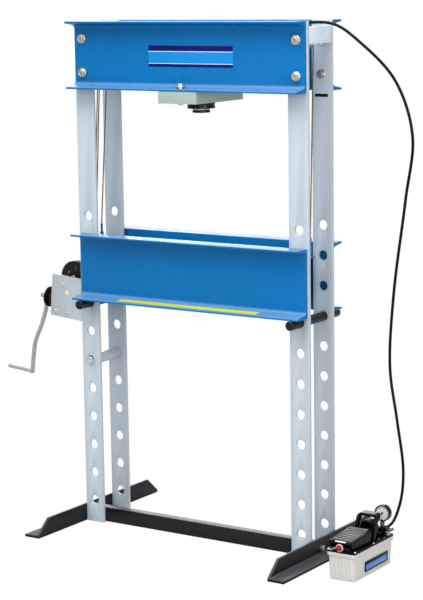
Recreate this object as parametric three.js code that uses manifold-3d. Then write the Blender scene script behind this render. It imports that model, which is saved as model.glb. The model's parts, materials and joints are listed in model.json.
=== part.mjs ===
// Hydraulic H-frame shop press: flat-bar columns, fixed channel head with a hanging cylinder,
// channel bed resting on two long pins and hung on winch ropes, foot pump on the floor.
// Millimetres, +Z up. Front is -Y. The press is drawn about the line midway between its columns;
// the last lines move it so that the origin is on the floor under the middle of the whole machine.
import * as THREE from 'three';
import { mergeVertices } from 'three/addons/utils/BufferGeometryUtils.js';
import Module from 'manifold-3d';

const wasm = await Module();
wasm.setup();

// ---------------------------------------------------------------- driving dimensions
const GAP = 0.3;                 // air left between neighbouring pieces
const HALF_WIDTH = 463.5;        // outer edges of the columns
const HALF_DEPTH = 81;           // outer faces of the front and rear bars
const BAR_WIDTH = 75;
const BAR_THICKNESS = 10;
const PRESS_HEIGHT = 1765;
const FIRST_HOLE = 80;
const HOLE_PITCH = 101.6;        // four inches
const HOLE_COUNT = 11;
const HOLE_RADIUS = 16.6;
const PIN_RADIUS = 15.75;
const BED_HOLE = 7;              // the holes the bed pins are in
const TIE_BOLT_HOLE = 5;         // the left holes the tie bolt is in
const CHANNEL = { height: 228.6, flange: 63, web: 7.2, tip: 7, root: 15, fillet: 8 };
const HEAD_HALF_LENGTH = 458.5;
const BED_HALF_LENGTH = 456.5;
const HEAD_BOLT_HEIGHTS = [1590, 1705];
const HEAD_BOLT_RADIUS = 8;
const BOLT_CLEARANCE = 0.6;
const RAM_BOLT_Y = 121;
const SHEAVE_Z = 1700;
const SHEAVE_X = { left: -398, right: 414 };
const ROPE_RADIUS = 2.4;
const ROPE_WRAP = 20;            // rope centre line on a sheave
const ROPE_Y = { left: -5, right: 5 };
const SOCKET_X = { left: -424, right: 418 };
const WINCH_TILT = THREE.MathUtils.degToRad(5.15);
const FAR = 1000;                // reach of a tool that cuts right through

const BAR_CENTRE = HALF_WIDTH - BAR_WIDTH / 2;
const BAR_INNER_Y = HALF_DEPTH - BAR_THICKNESS;
const CHANNEL_BACK = HALF_DEPTH + GAP;
const CHANNEL_TIP = CHANNEL_BACK + CHANNEL.flange;
const HEAD_BOTTOM = PRESS_HEIGHT - CHANNEL.height;
const holeHeight = (index) => FIRST_HOLE + index * HOLE_PITCH;
const PIN_Z = holeHeight(BED_HOLE);
const BED_BOTTOM = PIN_Z + PIN_RADIUS + 0.35;
const SIDES = [['left', -1], ['right', 1]];
const ROWS = [['front', -1], ['rear', 1]];

// ---------------------------------------------------------------- solids
function toManifold(geometry) {
  const bare = geometry.clone();
  bare.deleteAttribute('normal');
  bare.deleteAttribute('uv');
  const merged = mergeVertices(bare, 1e-3);
  const index = merged.index.array;
  const triangles = [];
  for (let i = 0; i < index.length; i += 3) {
    const [a, b, c] = [index[i], index[i + 1], index[i + 2]];
    if (a !== b && b !== c && c !== a) triangles.push(a, b, c);
  }
  return new wasm.Manifold(new wasm.Mesh({
    numProp: 3,
    vertProperties: new Float32Array(merged.attributes.position.array),
    triVerts: new Uint32Array(triangles),
  }));
}

function fromManifold(manifold) {
  const mesh = manifold.getMesh();
  const geometry = new THREE.BufferGeometry();
  geometry.setAttribute('position', new THREE.BufferAttribute(mesh.vertProperties.slice(), 3));
  geometry.setIndex(new THREE.BufferAttribute(mesh.triVerts.slice(), 1));
  return geometry;
}

function fuse(...parts) {
  return fromManifold(parts.map(toManifold).reduce((sum, next) => sum.add(next)));
}

function cut(body, ...tools) {
  const rest = tools.map(toManifold).reduce((left, tool) => left.subtract(tool), toManifold(body));
  return fromManifold(rest);
}

function common(one, other) {
  return fromManifold(toManifold(one).intersect(toManifold(other)));
}

// A box from three [low, high] ranges.
function block(x, y, z) {
  const box = new THREE.BoxGeometry(x[1] - x[0], y[1] - y[0], z[1] - z[0]);
  return box.translate((x[0] + x[1]) / 2, (y[0] + y[1]) / 2, (z[0] + z[1]) / 2);
}

// The same box on the left (side -1) or right (side 1), its x measured outward from the middle.
function sideBlock(side, x, y, z) {
  const range = side > 0 ? x : [-x[1], -x[0]];
  return block(range, y, z);
}

// Turned solid: profile of [radius, distance along the axis] pairs, around an axis through centre.
function turned(axis, centre, profile, segments = 24) {
  const geometry = new THREE.LatheGeometry(profile.map(([r, a]) => new THREE.Vector2(r, a)), segments);
  if (axis === 'z') geometry.rotateX(Math.PI / 2);
  if (axis === 'x') geometry.rotateZ(-Math.PI / 2);
  return geometry.translate(...centre);
}

// Plain rod between two stations on an axis.
function rod(axis, centre, radius, from, to, segments = 20) {
  return turned(axis, centre, [[0, from], [radius, from], [radius, to], [0, to]], segments);
}

function shapeOf(outline) {
  return new THREE.Shape(outline.map(([a, b]) => new THREE.Vector2(a, b)));
}

function extruded(shape, depth) {
  return new THREE.ExtrudeGeometry(shape, { depth, bevelEnabled: false, curveSegments: 8 });
}

// Outline in (x, z), drawn out along Y.
function slab(outline, fromY, toY) {
  return extruded(shapeOf(outline), toY - fromY).rotateX(Math.PI / 2).translate(0, toY, 0);
}

// Outline in (y, z), drawn out along X.
function rail(outline, fromX, toX) {
  const turn = new THREE.Matrix4().makeBasis(
    new THREE.Vector3(0, 1, 0), new THREE.Vector3(0, 0, 1), new THREE.Vector3(1, 0, 0));
  return extruded(shapeOf(outline), toX - fromX).applyMatrix4(turn).translate(fromX, 0, 0);
}

// Box with rounded upright corners.
function roundedBlock(x, y, z, radius) {
  const steps = 4;
  const outline = [];
  const corners = [[1, 1], [0, 1], [0, 0], [1, 0]];
  corners.forEach(([highX, highY], quarter) => {
    const middleX = highX ? x[1] - radius : x[0] + radius;
    const middleY = highY ? y[1] - radius : y[0] + radius;
    for (let step = 0; step <= steps; step += 1) {
      const angle = (quarter + step / steps) * Math.PI / 2;
      outline.push([middleX + radius * Math.cos(angle), middleY + radius * Math.sin(angle)]);
    }
  });
  return extruded(shapeOf(outline), z[1] - z[0]).translate(0, 0, z[0]);
}

// Outline of a flat strip of even thickness that follows a path of points.
function ribbon(path, thickness) {
  const points = path.map(([a, b]) => new THREE.Vector2(a, b));
  const offsets = points.map((point, i) => {
    const before = points[Math.max(i - 1, 0)];
    const after = points[Math.min(i + 1, points.length - 1)];
    const along = after.clone().sub(before).normalize();
    return new THREE.Vector2(-along.y, along.x).multiplyScalar(thickness / 2);
  });
  const one = points.map((point, i) => [point.x + offsets[i].x, point.y + offsets[i].y]);
  const other = points.map((point, i) => [point.x - offsets[i].x, point.y - offsets[i].y]);
  return [...one, ...other.reverse()];
}

// Round rope along a path of [x, z] points in the plane at a given y.
function rope(path, y, sides = 8) {
  const ribs = path.map(([x, z], i) => {
    const [x0, z0] = path[Math.max(i - 1, 0)];
    const [x1, z1] = path[Math.min(i + 1, path.length - 1)];
    const length = Math.hypot(x1 - x0, z1 - z0);
    const across = [-(z1 - z0) / length, (x1 - x0) / length];
    return Array.from({ length: sides }, (_, k) => {
      const angle = k / sides * 2 * Math.PI;
      const out = ROPE_RADIUS * Math.cos(angle);
      return [x + across[0] * out, y + ROPE_RADIUS * Math.sin(angle), z + across[1] * out];
    });
  });
  const vertices = ribs.flat();
  const faces = [];
  for (let i = 0; i < path.length - 1; i += 1) {
    for (let k = 0; k < sides; k += 1) {
      const [a, b] = [i * sides + k, i * sides + (k + 1) % sides];
      faces.push(a, a + sides, b + sides, a, b + sides, b);
    }
  }
  const last = (path.length - 1) * sides;
  for (let k = 1; k < sides - 1; k += 1) {
    faces.push(0, k, k + 1, last, last + k + 1, last + k);
  }
  const geometry = new THREE.BufferGeometry();
  geometry.setAttribute('position', new THREE.Float32BufferAttribute(vertices.flat(), 3));
  geometry.setIndex(faces);
  return geometry;
}

// Hexagon bolt. seat is the middle of the surface under the head, direction points from the
// head into the work; the nut, if any, sits grip millimetres further on.
function hexBolt(seat, direction, { across, head, shank, grip, nut = 0, tail = 4, washer = 0 }) {
  const corner = across / Math.sqrt(3);
  const hexagon = (from, to) => rod('z', [0, 0, 0], corner, from, to, 6);
  const parts = [
    hexagon(-head - washer, -washer + 0.01),
    rod('z', [0, 0, 0], shank, -1, grip + nut + tail, 8),
  ];
  if (washer > 0) parts.push(rod('z', [0, 0, 0], across * 0.68, -washer, 0, 14));
  if (nut > 0) parts.push(hexagon(grip, grip + nut));
  const geometry = fuse(...parts);
  const toward = new THREE.Vector3(...direction);
  const turn = new THREE.Quaternion().setFromUnitVectors(new THREE.Vector3(0, 0, 1), toward);
  return geometry.applyQuaternion(turn).translate(...seat);
}

// ---------------------------------------------------------------- materials and assembly
const paints = {
  frame_paint: [0xc3ced8, 0.1, 0.5],
  beam_paint: [0x1568ac, 0.1, 0.45],
  black_paint: [0x17171b, 0.1, 0.45],
  zinc: [0xbfc2c0, 0.8, 0.4],
  steel: [0xa7a9ab, 0.9, 0.35],
  black_oxide: [0x131315, 0.6, 0.4],
  rope_steel: [0x6d6a62, 0.7, 0.5],
  carriage_paint: [0xaab8b0, 0.1, 0.55],
  winch_zinc: [0xc4cacf, 0.5, 0.5],
  hose_rubber: [0x0e0e0e, 0.0, 0.5],
  tank_plastic: [0xd8d7ce, 0.0, 0.5],
  window_plastic: [0x5b93cf, 0.0, 0.2],
  black_plastic: [0x101012, 0.0, 0.4],
  red_plastic: [0x9c3a3e, 0.0, 0.4],
  gauge_metal: [0xb9bbbb, 0.7, 0.35],
};
const materials = Object.fromEntries(Object.entries(paints).map(([name, [color, metalness, roughness]]) =>
  [name, new THREE.MeshStandardMaterial({ name, color, metalness, roughness })]));

const press = new THREE.Group();
press.name = 'hydraulic_shop_press';

function add(name, slot, geometry) {
  geometry.computeVertexNormals();
  const mesh = new THREE.Mesh(geometry, materials[slot].clone());
  mesh.name = name;
  press.add(mesh);
}

// ---------------------------------------------------------------- columns
const BOLT_HOLE = HEAD_BOLT_RADIUS + BOLT_CLEARANCE;
const boltHole = (x, z) => rod('y', [x, 0, z], BOLT_HOLE, -FAR, FAR, 12);

function columnBar(side, row) {
  const x = side * BAR_CENTRE;
  const shape = shapeOf([
    [x - BAR_WIDTH / 2, 0], [x + BAR_WIDTH / 2, 0],
    [x + BAR_WIDTH / 2, PRESS_HEIGHT], [x - BAR_WIDTH / 2, PRESS_HEIGHT],
  ]);
  for (let index = 0; index < HOLE_COUNT; index += 1) {
    shape.holes.push(new THREE.Path().absarc(x, holeHeight(index), HOLE_RADIUS, 0, 2 * Math.PI, true));
  }
  for (const z of HEAD_BOLT_HEIGHTS) {
    shape.holes.push(new THREE.Path().absarc(x, z, BOLT_HOLE, 0, 2 * Math.PI, true));
  }
  const rearFace = row > 0 ? HALF_DEPTH : -BAR_INNER_Y;
  return extruded(shape, BAR_THICKNESS).rotateX(Math.PI / 2).translate(0, rearFace, 0);
}

for (const [sideName, side] of SIDES) {
  for (const [rowName, row] of ROWS) {
    add(`column_bar_${sideName}_${rowName}`, 'frame_paint', columnBar(side, row));
  }
}

// ---------------------------------------------------------------- rolled channels
function channelOutline(row, bottom) {
  const { height, flange, web, tip, root, fillet } = CHANNEL;
  const slope = (root - tip) / (flange - web);
  const lower = [
    [flange, 0], [flange, tip],
    [web + fillet, root - slope * fillet], [web + fillet * 0.3, root + fillet * 0.25], [web, root + fillet],
  ];
  const upper = lower.map(([out, up]) => [out, height - up]).reverse();
  const outline = [[0, 0], ...lower, ...upper, [0, height]];
  return outline.map(([out, up]) => [row * (CHANNEL_BACK + out), bottom + up]);
}

function channel(row, bottom, halfLength) {
  return rail(channelOutline(row, bottom), -halfLength, halfLength);
}

for (const [rowName, row] of ROWS) {
  const holes = SIDES.flatMap(([, side]) => HEAD_BOLT_HEIGHTS.map((z) => boltHole(side * BAR_CENTRE, z)));
  const ramBoltHole = rod('z', [0, row * RAM_BOLT_Y, HEAD_BOTTOM], BOLT_HOLE, -20, 40, 12);
  const beam = channel(row, HEAD_BOTTOM, HEAD_HALF_LENGTH);
  add(`head_channel_${rowName}`, 'beam_paint', cut(beam, ...holes, ramBoltHole));
}
for (const [rowName, row] of ROWS) {
  add(`bed_channel_${rowName}`, 'beam_paint', channel(row, BED_BOTTOM, BED_HALF_LENGTH));
}

// Bolts through the channel web and the bar, nuts between the bars.
const HEAD_BOLT = {
  across: 24, head: 10, shank: HEAD_BOLT_RADIUS, nut: 11, washer: 3,
  grip: CHANNEL.web + BAR_THICKNESS + 3 * GAP,
};
for (const [rowName, row] of ROWS) {
  for (const [sideName, side] of SIDES) {
    HEAD_BOLT_HEIGHTS.forEach((z, level) => {
      const seat = [side * BAR_CENTRE, row * (CHANNEL_BACK + CHANNEL.web + GAP), z];
      const name = `head_bolt_${sideName}_${rowName}_${level ? 'upper' : 'lower'}`;
      add(name, 'zinc', hexBolt(seat, [0, -row, 0], HEAD_BOLT));
    });
  }
}

// ---------------------------------------------------------------- feet and base spreader
const FOOT = { half: 356.5, height: 62, thickness: 9.5, reach: 62, cutBack: 61 };
const SPREADER = { thickness: 5, bottom: 4, top: 56, flange: 31, tab: 6, tabEnd: -8 };
const FOOT_BOLT = {
  across: 19, head: 8, shank: 6, nut: 9,
  grip: FOOT.thickness + SPREADER.tab + 3 * GAP,
};
const FOOT_BOLT_PLACE = [-27, 27];
const FOOT_INNER = HALF_WIDTH + GAP;
const footBoltHole = rod('x', [0, ...FOOT_BOLT_PLACE], FOOT_BOLT.shank + 0.5, -FAR, FAR, 12);

for (const [sideName, side] of SIDES) {
  const { half, height, thickness, reach, cutBack } = FOOT;
  const wall = [
    [-half, 0], [half, 0], [half, thickness],
    [half - cutBack, height], [-half + cutBack, height], [-half, thickness],
  ];
  const [near, far] = [side * FOOT_INNER, side * (FOOT_INNER + thickness)];
  const upright = rail(wall, Math.min(near, far), Math.max(near, far));
  const sole = sideBlock(side, [FOOT_INNER, FOOT_INNER + reach], [-half, half], [0, thickness]);
  add(`foot_${sideName}`, 'black_paint', cut(fuse(upright, sole), footBoltHole));

  const seat = [side * (FOOT_INNER + thickness + GAP), ...FOOT_BOLT_PLACE];
  add(`foot_bolt_${sideName}`, 'zinc', hexBolt(seat, [-side, 0, 0], FOOT_BOLT));
}

{
  const { thickness, bottom, top, flange, tab, tabEnd } = SPREADER;
  const y = -BAR_INNER_Y + GAP;
  const inside = HALF_WIDTH - tab;
  const face = block([-HALF_WIDTH, HALF_WIDTH], [y, y + thickness], [bottom, top]);
  const shelf = block([-inside, inside], [y, y + flange], [top - thickness, top]);
  const tabs = SIDES.map(([, side]) => sideBlock(side, [inside, HALF_WIDTH], [y, tabEnd], [bottom, top]));
  add('base_spreader', 'black_paint', cut(fuse(face, shelf, ...tabs), footBoltHole));
}

// ---------------------------------------------------------------- sheaves at the top of the columns
const TIE = { bottom: 1692, top: 1746, thickness: 6, lip: 28, lipThickness: 5, hole: [11.5, 1721, 4] };
const CHEEK = { inner: 14.5, outer: 19.5, bottom: 1686, top: 1735, past: 14 };
const SHEAVE_PIN = { radius: 6, proud: 4 };
const SHEAVE = { rim: 25, half: 12, grooveTop: 4.6, grooveRoot: 2.8 };

for (const [sideName, side] of SIDES) {
  const inside = HALF_WIDTH - TIE.thickness;
  const width = [-BAR_INNER_Y + GAP, BAR_INNER_Y - GAP];
  const centre = SHEAVE_X[sideName];
  const [holeY, holeZ, holeRadius] = TIE.hole;
  const plate = cut(
    sideBlock(side, [inside, HALF_WIDTH], width, [TIE.bottom, TIE.top]),
    rod('x', [0, holeY, holeZ], holeRadius, -FAR, FAR, 12));
  const lipHeight = [TIE.top - TIE.lipThickness, TIE.top];
  const lip = sideBlock(side, [HALF_WIDTH - TIE.lip, HALF_WIDTH], width, lipHeight);
  const cheekX = [Math.abs(centre) - CHEEK.past, inside + 1];
  const cheeks = [[CHEEK.inner, CHEEK.outer], [-CHEEK.outer, -CHEEK.inner]]
    .map((y) => sideBlock(side, cheekX, y, [CHEEK.bottom, CHEEK.top]));
  const pinReach = CHEEK.outer + SHEAVE_PIN.proud;
  const pin = rod('y', [centre, 0, SHEAVE_Z], SHEAVE_PIN.radius, -pinReach, pinReach, 16);
  add(`sheave_bracket_${sideName}`, 'frame_paint', fuse(plate, lip, ...cheeks, pin));

  const { rim, half, grooveTop, grooveRoot } = SHEAVE;
  const root = ROPE_WRAP - ROPE_RADIUS - 0.4;
  const bore = SHEAVE_PIN.radius + GAP;
  const groove = (middle) => [
    [rim, middle - grooveTop], [root, middle - grooveRoot],
    [root, middle + grooveRoot], [rim, middle + grooveTop],
  ];
  const profile = [
    [bore, -half], [rim, -half], ...groove(ROPE_Y.left), ...groove(ROPE_Y.right),
    [rim, half], [bore, half], [bore, -half],
  ];
  add(`sheave_${sideName}`, 'steel', turned('y', [centre, 0, SHEAVE_Z], profile, 18));
}

// ---------------------------------------------------------------- hydraulic cylinder and its carriage
const CARRIAGE = { half: 75.5, depth: 143, bottom: 1496, top: HEAD_BOTTOM - GAP };
const CYLINDER = { radius: 43, bore: 29, bottom: 1474, roof: 1672, top: 1691, chamfer: 3 };
const PLUNGER = { radius: 28.5, bottom: 1468, top: 1640 };
const RING = { inner: CYLINDER.radius + GAP, outer: 47, bottom: 1473.5, top: CARRIAGE.bottom - GAP };
const SADDLE = { radius: 30, bottom: 1459, top: PLUNGER.bottom - GAP };
const PORT = { z: 1668, hexagon: 11, hexagonEnd: 58, sleeve: 8, end: 76 };
const HEAD_FLANGE_TOP = HEAD_BOTTOM + 14;
const RAM_BOLT = {
  across: 22, head: 9, shank: HEAD_BOLT_RADIUS, washer: 3, tail: 5,
  grip: HEAD_FLANGE_TOP - CARRIAGE.bottom,
};

{
  const { half, depth, bottom, top } = CARRIAGE;
  const bore = rod('z', [0, 0, 0], CYLINDER.radius + 0.8, bottom - 50, top + 50, 32);
  const holes = ROWS.map(([, row]) =>
    rod('z', [0, row * RAM_BOLT_Y, 0], BOLT_HOLE, bottom - 50, top + 50, 12));
  const carriage = block([-half, half], [-depth, depth], [bottom, top]);
  add('ram_carriage', 'carriage_paint', cut(carriage, bore, ...holes));
}
for (const [rowName, row] of ROWS) {
  const bolt = hexBolt([0, row * RAM_BOLT_Y, HEAD_FLANGE_TOP], [0, 0, -1], RAM_BOLT);
  add(`carriage_bolt_${rowName}`, 'zinc', bolt);
}
{
  const { radius, bore, bottom, roof, top, chamfer } = CYLINDER;
  add('cylinder_body', 'black_paint', turned('z', [0, 0, 0], [
    [0, roof], [bore, roof], [bore, bottom], [radius, bottom],
    [radius, top - chamfer], [radius - chamfer, top], [0, top],
  ]));
}
add('cylinder_ring', 'black_oxide', turned('z', [0, 0, 0], [
  [RING.inner, RING.bottom], [RING.outer - 1, RING.bottom], [RING.outer, RING.bottom + 1],
  [RING.outer, RING.top], [RING.inner, RING.top], [RING.inner, RING.bottom],
]));
add('ram_plunger', 'steel', rod('z', [0, 0, 0], PLUNGER.radius, PLUNGER.bottom, PLUNGER.top));
add('ram_saddle', 'black_oxide', turned('z', [0, 0, 0], [
  [0, SADDLE.bottom], [SADDLE.radius - 1, SADDLE.bottom], [SADDLE.radius, SADDLE.bottom + 1],
  [SADDLE.radius, SADDLE.top], [0, SADDLE.top],
]));
add('cylinder_fitting', 'zinc', fuse(
  rod('x', [0, 0, PORT.z], PORT.hexagon, CYLINDER.radius + GAP, PORT.hexagonEnd, 6),
  rod('x', [0, 0, PORT.z], PORT.sleeve, PORT.hexagonEnd - 1, PORT.end, 16)));

// ---------------------------------------------------------------- bed pins and bed cross members
const PIN_SPAN = { front: -147, rear: 163, chamfer: 2.5 };
const CROSS_PLATE = { x: [365, 377], z: [850, 1000] };
const ROPE_ARM = { half: 14, thickness: 8, past: 8 };
const GUSSET = { x: [376, 410], half: 3, bottom: 955 };
const SOCKET = { radius: 6.5, top: 1032, ferrule: 4, ferruleTop: 1062 };

for (const [sideName, side] of SIDES) {
  const { front, rear, chamfer } = PIN_SPAN;
  add(`bed_pin_${sideName}`, 'black_oxide', turned('y', [side * BAR_CENTRE, 0, PIN_Z], [
    [0, front], [PIN_RADIUS - chamfer, front], [PIN_RADIUS, front + chamfer],
    [PIN_RADIUS, rear - chamfer], [PIN_RADIUS - chamfer, rear], [0, rear],
  ], 24));

  const x = SOCKET_X[sideName];
  const y = ROPE_Y[sideName];
  const [plateBottom, plateTop] = CROSS_PLATE.z;
  const armZ = [plateTop - ROPE_ARM.thickness, plateTop];
  const armX = [CROSS_PLATE.x[0] + 5, Math.abs(x) + ROPE_ARM.past];
  add(`bed_cross_plate_${sideName}`, 'beam_paint', fuse(
    sideBlock(side, CROSS_PLATE.x, [-CHANNEL_BACK + GAP, CHANNEL_BACK - GAP], [plateBottom, plateTop]),
    sideBlock(side, armX, [y - ROPE_ARM.half, y + ROPE_ARM.half], armZ),
    sideBlock(side, GUSSET.x, [y - GUSSET.half, y + GUSSET.half], [GUSSET.bottom, armZ[0] + 1]),
    rod('z', [x, y, 0], SOCKET.radius, plateTop - 1, SOCKET.top, 16),
    rod('z', [x, y, 0], SOCKET.ferrule, SOCKET.top - 1, SOCKET.ferruleTop, 12)));
}

// Bolt and sleeve that tie the left pair of bars together.
const TIE_BOLT = { sleeve: 19.5, spigot: 15.5, washer: 20, washerThickness: 3.2, head: 13, headEnd: 12 };
{
  const centre = [-BAR_CENTRE, 0, holeHeight(TIE_BOLT_HOLE)];
  const washerEnd = HALF_DEPTH + GAP + TIE_BOLT.washerThickness;
  const sleeve = rod('y', centre, TIE_BOLT.sleeve, -BAR_INNER_Y + GAP, BAR_INNER_Y - GAP, 24);
  const spigot = rod('y', centre, TIE_BOLT.spigot, -HALF_DEPTH - 1, HALF_DEPTH + 1, 20);
  const ends = ROWS.flatMap(([, row]) => {
    const span = (from, to) => (row > 0 ? [from, to] : [-to, -from]);
    return [
      rod('y', centre, TIE_BOLT.washer, ...span(HALF_DEPTH + GAP, washerEnd), 20),
      rod('y', centre, TIE_BOLT.head, ...span(washerEnd - 0.5, HALF_DEPTH + TIE_BOLT.headEnd), 6),
    ];
  });
  add('column_tie_bolt', 'zinc', fuse(sleeve, spigot, ...ends));
}

// ---------------------------------------------------------------- winch
// Built square to the press: x outward is negative, y is the depth behind the plate's front
// face and z is the height above its lower inner corner. Then it is tilted and set in place.
const WINCH_CORNER = [-HALF_WIDTH - GAP, -HALF_DEPTH, 720.6];
const PLATE = { outer: -140, thickness: 6, height: 150 };
const WHEEL = { x: -65, z: 142, radius: 59, y: [30, 42], holes: 6, holeRadius: 6.5, holeCircle: 34 };
const WHEEL_FACE = { hub: 18, hubProud: 4, dish: 48, recess: 3 };
const SHAFT = { y: 36, z: 56, radius: 7, end: -211, inner: -14 };
const WORM = { radius: 24, from: -90, to: -40, taper: 4 };
const CRANK_NUT = { radius: 9.5, from: -209, to: -193, point: 8 };
const DRUM = { y: [68, 108], flange: 58, flangeThickness: 4, wrap: 50 };
const AXLE = { radius: 9, y: [22, 120] };
const WINCH_FRAME = {
  sheet: 4, back: [-135, -55], floor: [-135, -18], bottom: 6, backTop: 128, floorThickness: 6,
  lugs: [[-112, -98], [-32, -20]], lugY: [24, 64], lugTop: 78, cheeks: [-95, -35], cheekTop: 160,
};
const CRANK_DISC = { radius: 37, chamfer: 2, from: -166, to: -175, hub: 12, hubEnd: -183.5 };
const CRANK_PATH = [
  [-188, 70], [-187.5, 12], [-197, -25], [-209, -64], [-222, -96], [-231, -123], [-236, -173], [-239, -240],
];
const CRANK_BAR = { thickness: 8, halfWidth: 10 };
const GRIP = { z: -232, from: -341, to: -245.5, radius: 7.5, pin: 5, cap: 3.5 };

function inPlace(geometry) {
  return geometry.rotateY(WINCH_TILT).translate(...WINCH_CORNER);
}

{
  // The plate's inner edge stands upright against the column although the winch is tilted.
  const blank = inPlace(block([PLATE.outer, 20], [0, PLATE.thickness], [0, PLATE.height]));
  add('winch_plate', 'winch_zinc', cut(blank, block([WINCH_CORNER[0], 0], [-FAR, 0], [0, FAR])));
}
{
  const { sheet, bottom, lugY, lugTop, cheekTop } = WINCH_FRAME;
  const [backFace, rearEnd] = [PLATE.thickness + GAP, DRUM.y[1] + 2 + sheet];
  const back = block(WINCH_FRAME.back, [backFace, backFace + sheet], [bottom, WINCH_FRAME.backTop]);
  const floorTop = bottom + WINCH_FRAME.floorThickness;
  const floor = block(WINCH_FRAME.floor, [backFace, rearEnd], [bottom, floorTop]);
  const lugs = WINCH_FRAME.lugs.map((x) => block(x, lugY, [bottom, lugTop]));
  const cheeks = [DRUM.y[0] - 2 - sheet, DRUM.y[1] + 2]
    .map((y) => block(WINCH_FRAME.cheeks, [y, y + sheet], [bottom, cheekTop]));
  const shaftBore = rod('x', [0, SHAFT.y, SHAFT.z], SHAFT.radius + GAP, -200, 0, 16);
  const axleBore = rod('y', [WHEEL.x, 0, WHEEL.z], AXLE.radius + GAP, 0, 200, 16);
  const housing = fuse(back, floor, ...lugs, ...cheeks);
  add('winch_frame', 'winch_zinc', inPlace(cut(housing, shaftBore, axleBore)));
}
{
  const { x, z, radius, holes: count, holeRadius, holeCircle } = WHEEL;
  const { hub, hubProud, dish, recess } = WHEEL_FACE;
  const [front, rear] = WHEEL.y;
  const bore = AXLE.radius + GAP;
  const disc = turned('y', [x, 0, z], [
    [bore, front - hubProud], [hub, front - hubProud], [hub, front + recess], [dish, front + recess],
    [dish + 2, front], [radius, front], [radius, rear], [bore, rear], [bore, front - hubProud],
  ], 32);
  const holes = Array.from({ length: count }, (_, k) => {
    const angle = (k + 0.5) / count * 2 * Math.PI;
    const centre = [x + holeCircle * Math.cos(angle), 0, z + holeCircle * Math.sin(angle)];
    return rod('y', centre, holeRadius, 0, 60, 8);
  });
  add('winch_wheel', 'black_oxide', inPlace(cut(disc, ...holes)));
}
{
  const [front, rear] = DRUM.y;
  const { flange, flangeThickness } = DRUM;
  const core = DRUM.wrap - ROPE_RADIUS - 0.4;
  add('winch_drum', 'zinc', inPlace(turned('y', [WHEEL.x, 0, WHEEL.z], [
    [0, AXLE.y[0]], [AXLE.radius, AXLE.y[0]], [AXLE.radius, front], [flange, front],
    [flange, front + flangeThickness], [core, front + flangeThickness],
    [core, rear - flangeThickness], [flange, rear - flangeThickness], [flange, rear],
    [AXLE.radius, rear], [AXLE.radius, AXLE.y[1]], [0, AXLE.y[1]],
  ], 28)));
}
{
  const { radius, end, inner } = SHAFT;
  add('winch_shaft', 'steel', inPlace(turned('x', [0, SHAFT.y, SHAFT.z], [
    [0, end], [CRANK_NUT.point, end], [CRANK_NUT.radius, CRANK_NUT.from], [CRANK_NUT.radius, CRANK_NUT.to],
    [radius, CRANK_NUT.to], [radius, WORM.from - WORM.taper], [WORM.radius, WORM.from],
    [WORM.radius, WORM.to], [radius, WORM.to + WORM.taper], [radius, inner], [0, inner],
  ], 20)));
}

const shaftHole = rod('x', [0, SHAFT.y, SHAFT.z], SHAFT.radius + GAP, -300, 0, 20);
{
  const { radius, chamfer, from, to, hub, hubEnd } = CRANK_DISC;
  const disc = turned('x', [0, SHAFT.y, SHAFT.z], [
    [0, hubEnd], [hub, hubEnd], [hub, to], [radius - chamfer, to],
    [radius, to + chamfer], [radius, from], [0, from],
  ], 32);
  add('crank_disc', 'black_plastic', inPlace(cut(disc, shaftHole)));
}
{
  const { thickness, halfWidth } = CRANK_BAR;
  const bar = slab(ribbon(CRANK_PATH, thickness), SHAFT.y - halfWidth, SHAFT.y + halfWidth);
  const pin = rod('x', [0, SHAFT.y, GRIP.z], GRIP.pin, GRIP.from - 3, CRANK_PATH.at(-1)[0] + 1, 16);
  const cap = rod('x', [0, SHAFT.y, GRIP.z], GRIP.radius, GRIP.from - 1.5 - GRIP.cap, GRIP.from - 1.5, 16);
  add('crank_arm', 'steel', inPlace(cut(fuse(bar, pin, cap), shaftHole)));

  const bore = GRIP.pin + GAP;
  add('crank_grip', 'steel', inPlace(turned('x', [0, SHAFT.y, GRIP.z], [
    [bore, GRIP.from], [GRIP.radius, GRIP.from], [GRIP.radius, GRIP.to], [bore, GRIP.to], [bore, GRIP.from],
  ], 20)));
}

// ---------------------------------------------------------------- wire ropes
const drumCentre = new THREE.Vector3(WHEEL.x, 0, WHEEL.z)
  .applyAxisAngle(new THREE.Vector3(0, 1, 0), WINCH_TILT)
  .add(new THREE.Vector3(...WINCH_CORNER));
const drumSide = [drumCentre.x + DRUM.wrap, drumCentre.z];

// Rope centre line on a sheave, between two directions from its middle.
function wrap(centreX, fromDegrees, toDegrees, steps) {
  return Array.from({ length: steps + 1 }, (_, k) => {
    const angle = THREE.MathUtils.degToRad(fromDegrees + (toDegrees - fromDegrees) * k / steps);
    return [centreX + ROPE_WRAP * Math.cos(angle), SHEAVE_Z + ROPE_WRAP * Math.sin(angle)];
  });
}

const { left: sheaveLeft, right: sheaveRight } = SHEAVE_X;
add('rope_left_lead', 'rope_steel', rope([...wrap(sheaveLeft, 0, 180, 10), drumSide], ROPE_Y.left));
add('rope_right_lead', 'rope_steel', rope(
  [...wrap(sheaveRight, 0, 90, 5), ...wrap(sheaveLeft, 90, 180, 5), drumSide], ROPE_Y.right));
for (const [sideName] of SIDES) {
  const top = [SHEAVE_X[sideName] + ROPE_WRAP, SHEAVE_Z - 1];
  const foot = [SOCKET_X[sideName], SOCKET.ferruleTop + GAP];
  add(`rope_${sideName}_fall`, 'rope_steel', rope([foot, top], ROPE_Y[sideName]));
}

// ---------------------------------------------------------------- foot pump
const PUMP = { x: [611, 716], y: [-235, 28], tankTop: 92, deck: 100, corner: 10 };
const PUMP_MIDDLE = (PUMP.x[0] + PUMP.x[1]) / 2;
const TANK = { draft: 5, wall: 6, rim: 12, floor: 6 };
const WINDOW = { y: [-162, -11], z: [18, 52], depth: 8, paneFace: 4.5 };
const inset = ([low, high], by) => [low + by, high - by];

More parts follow.
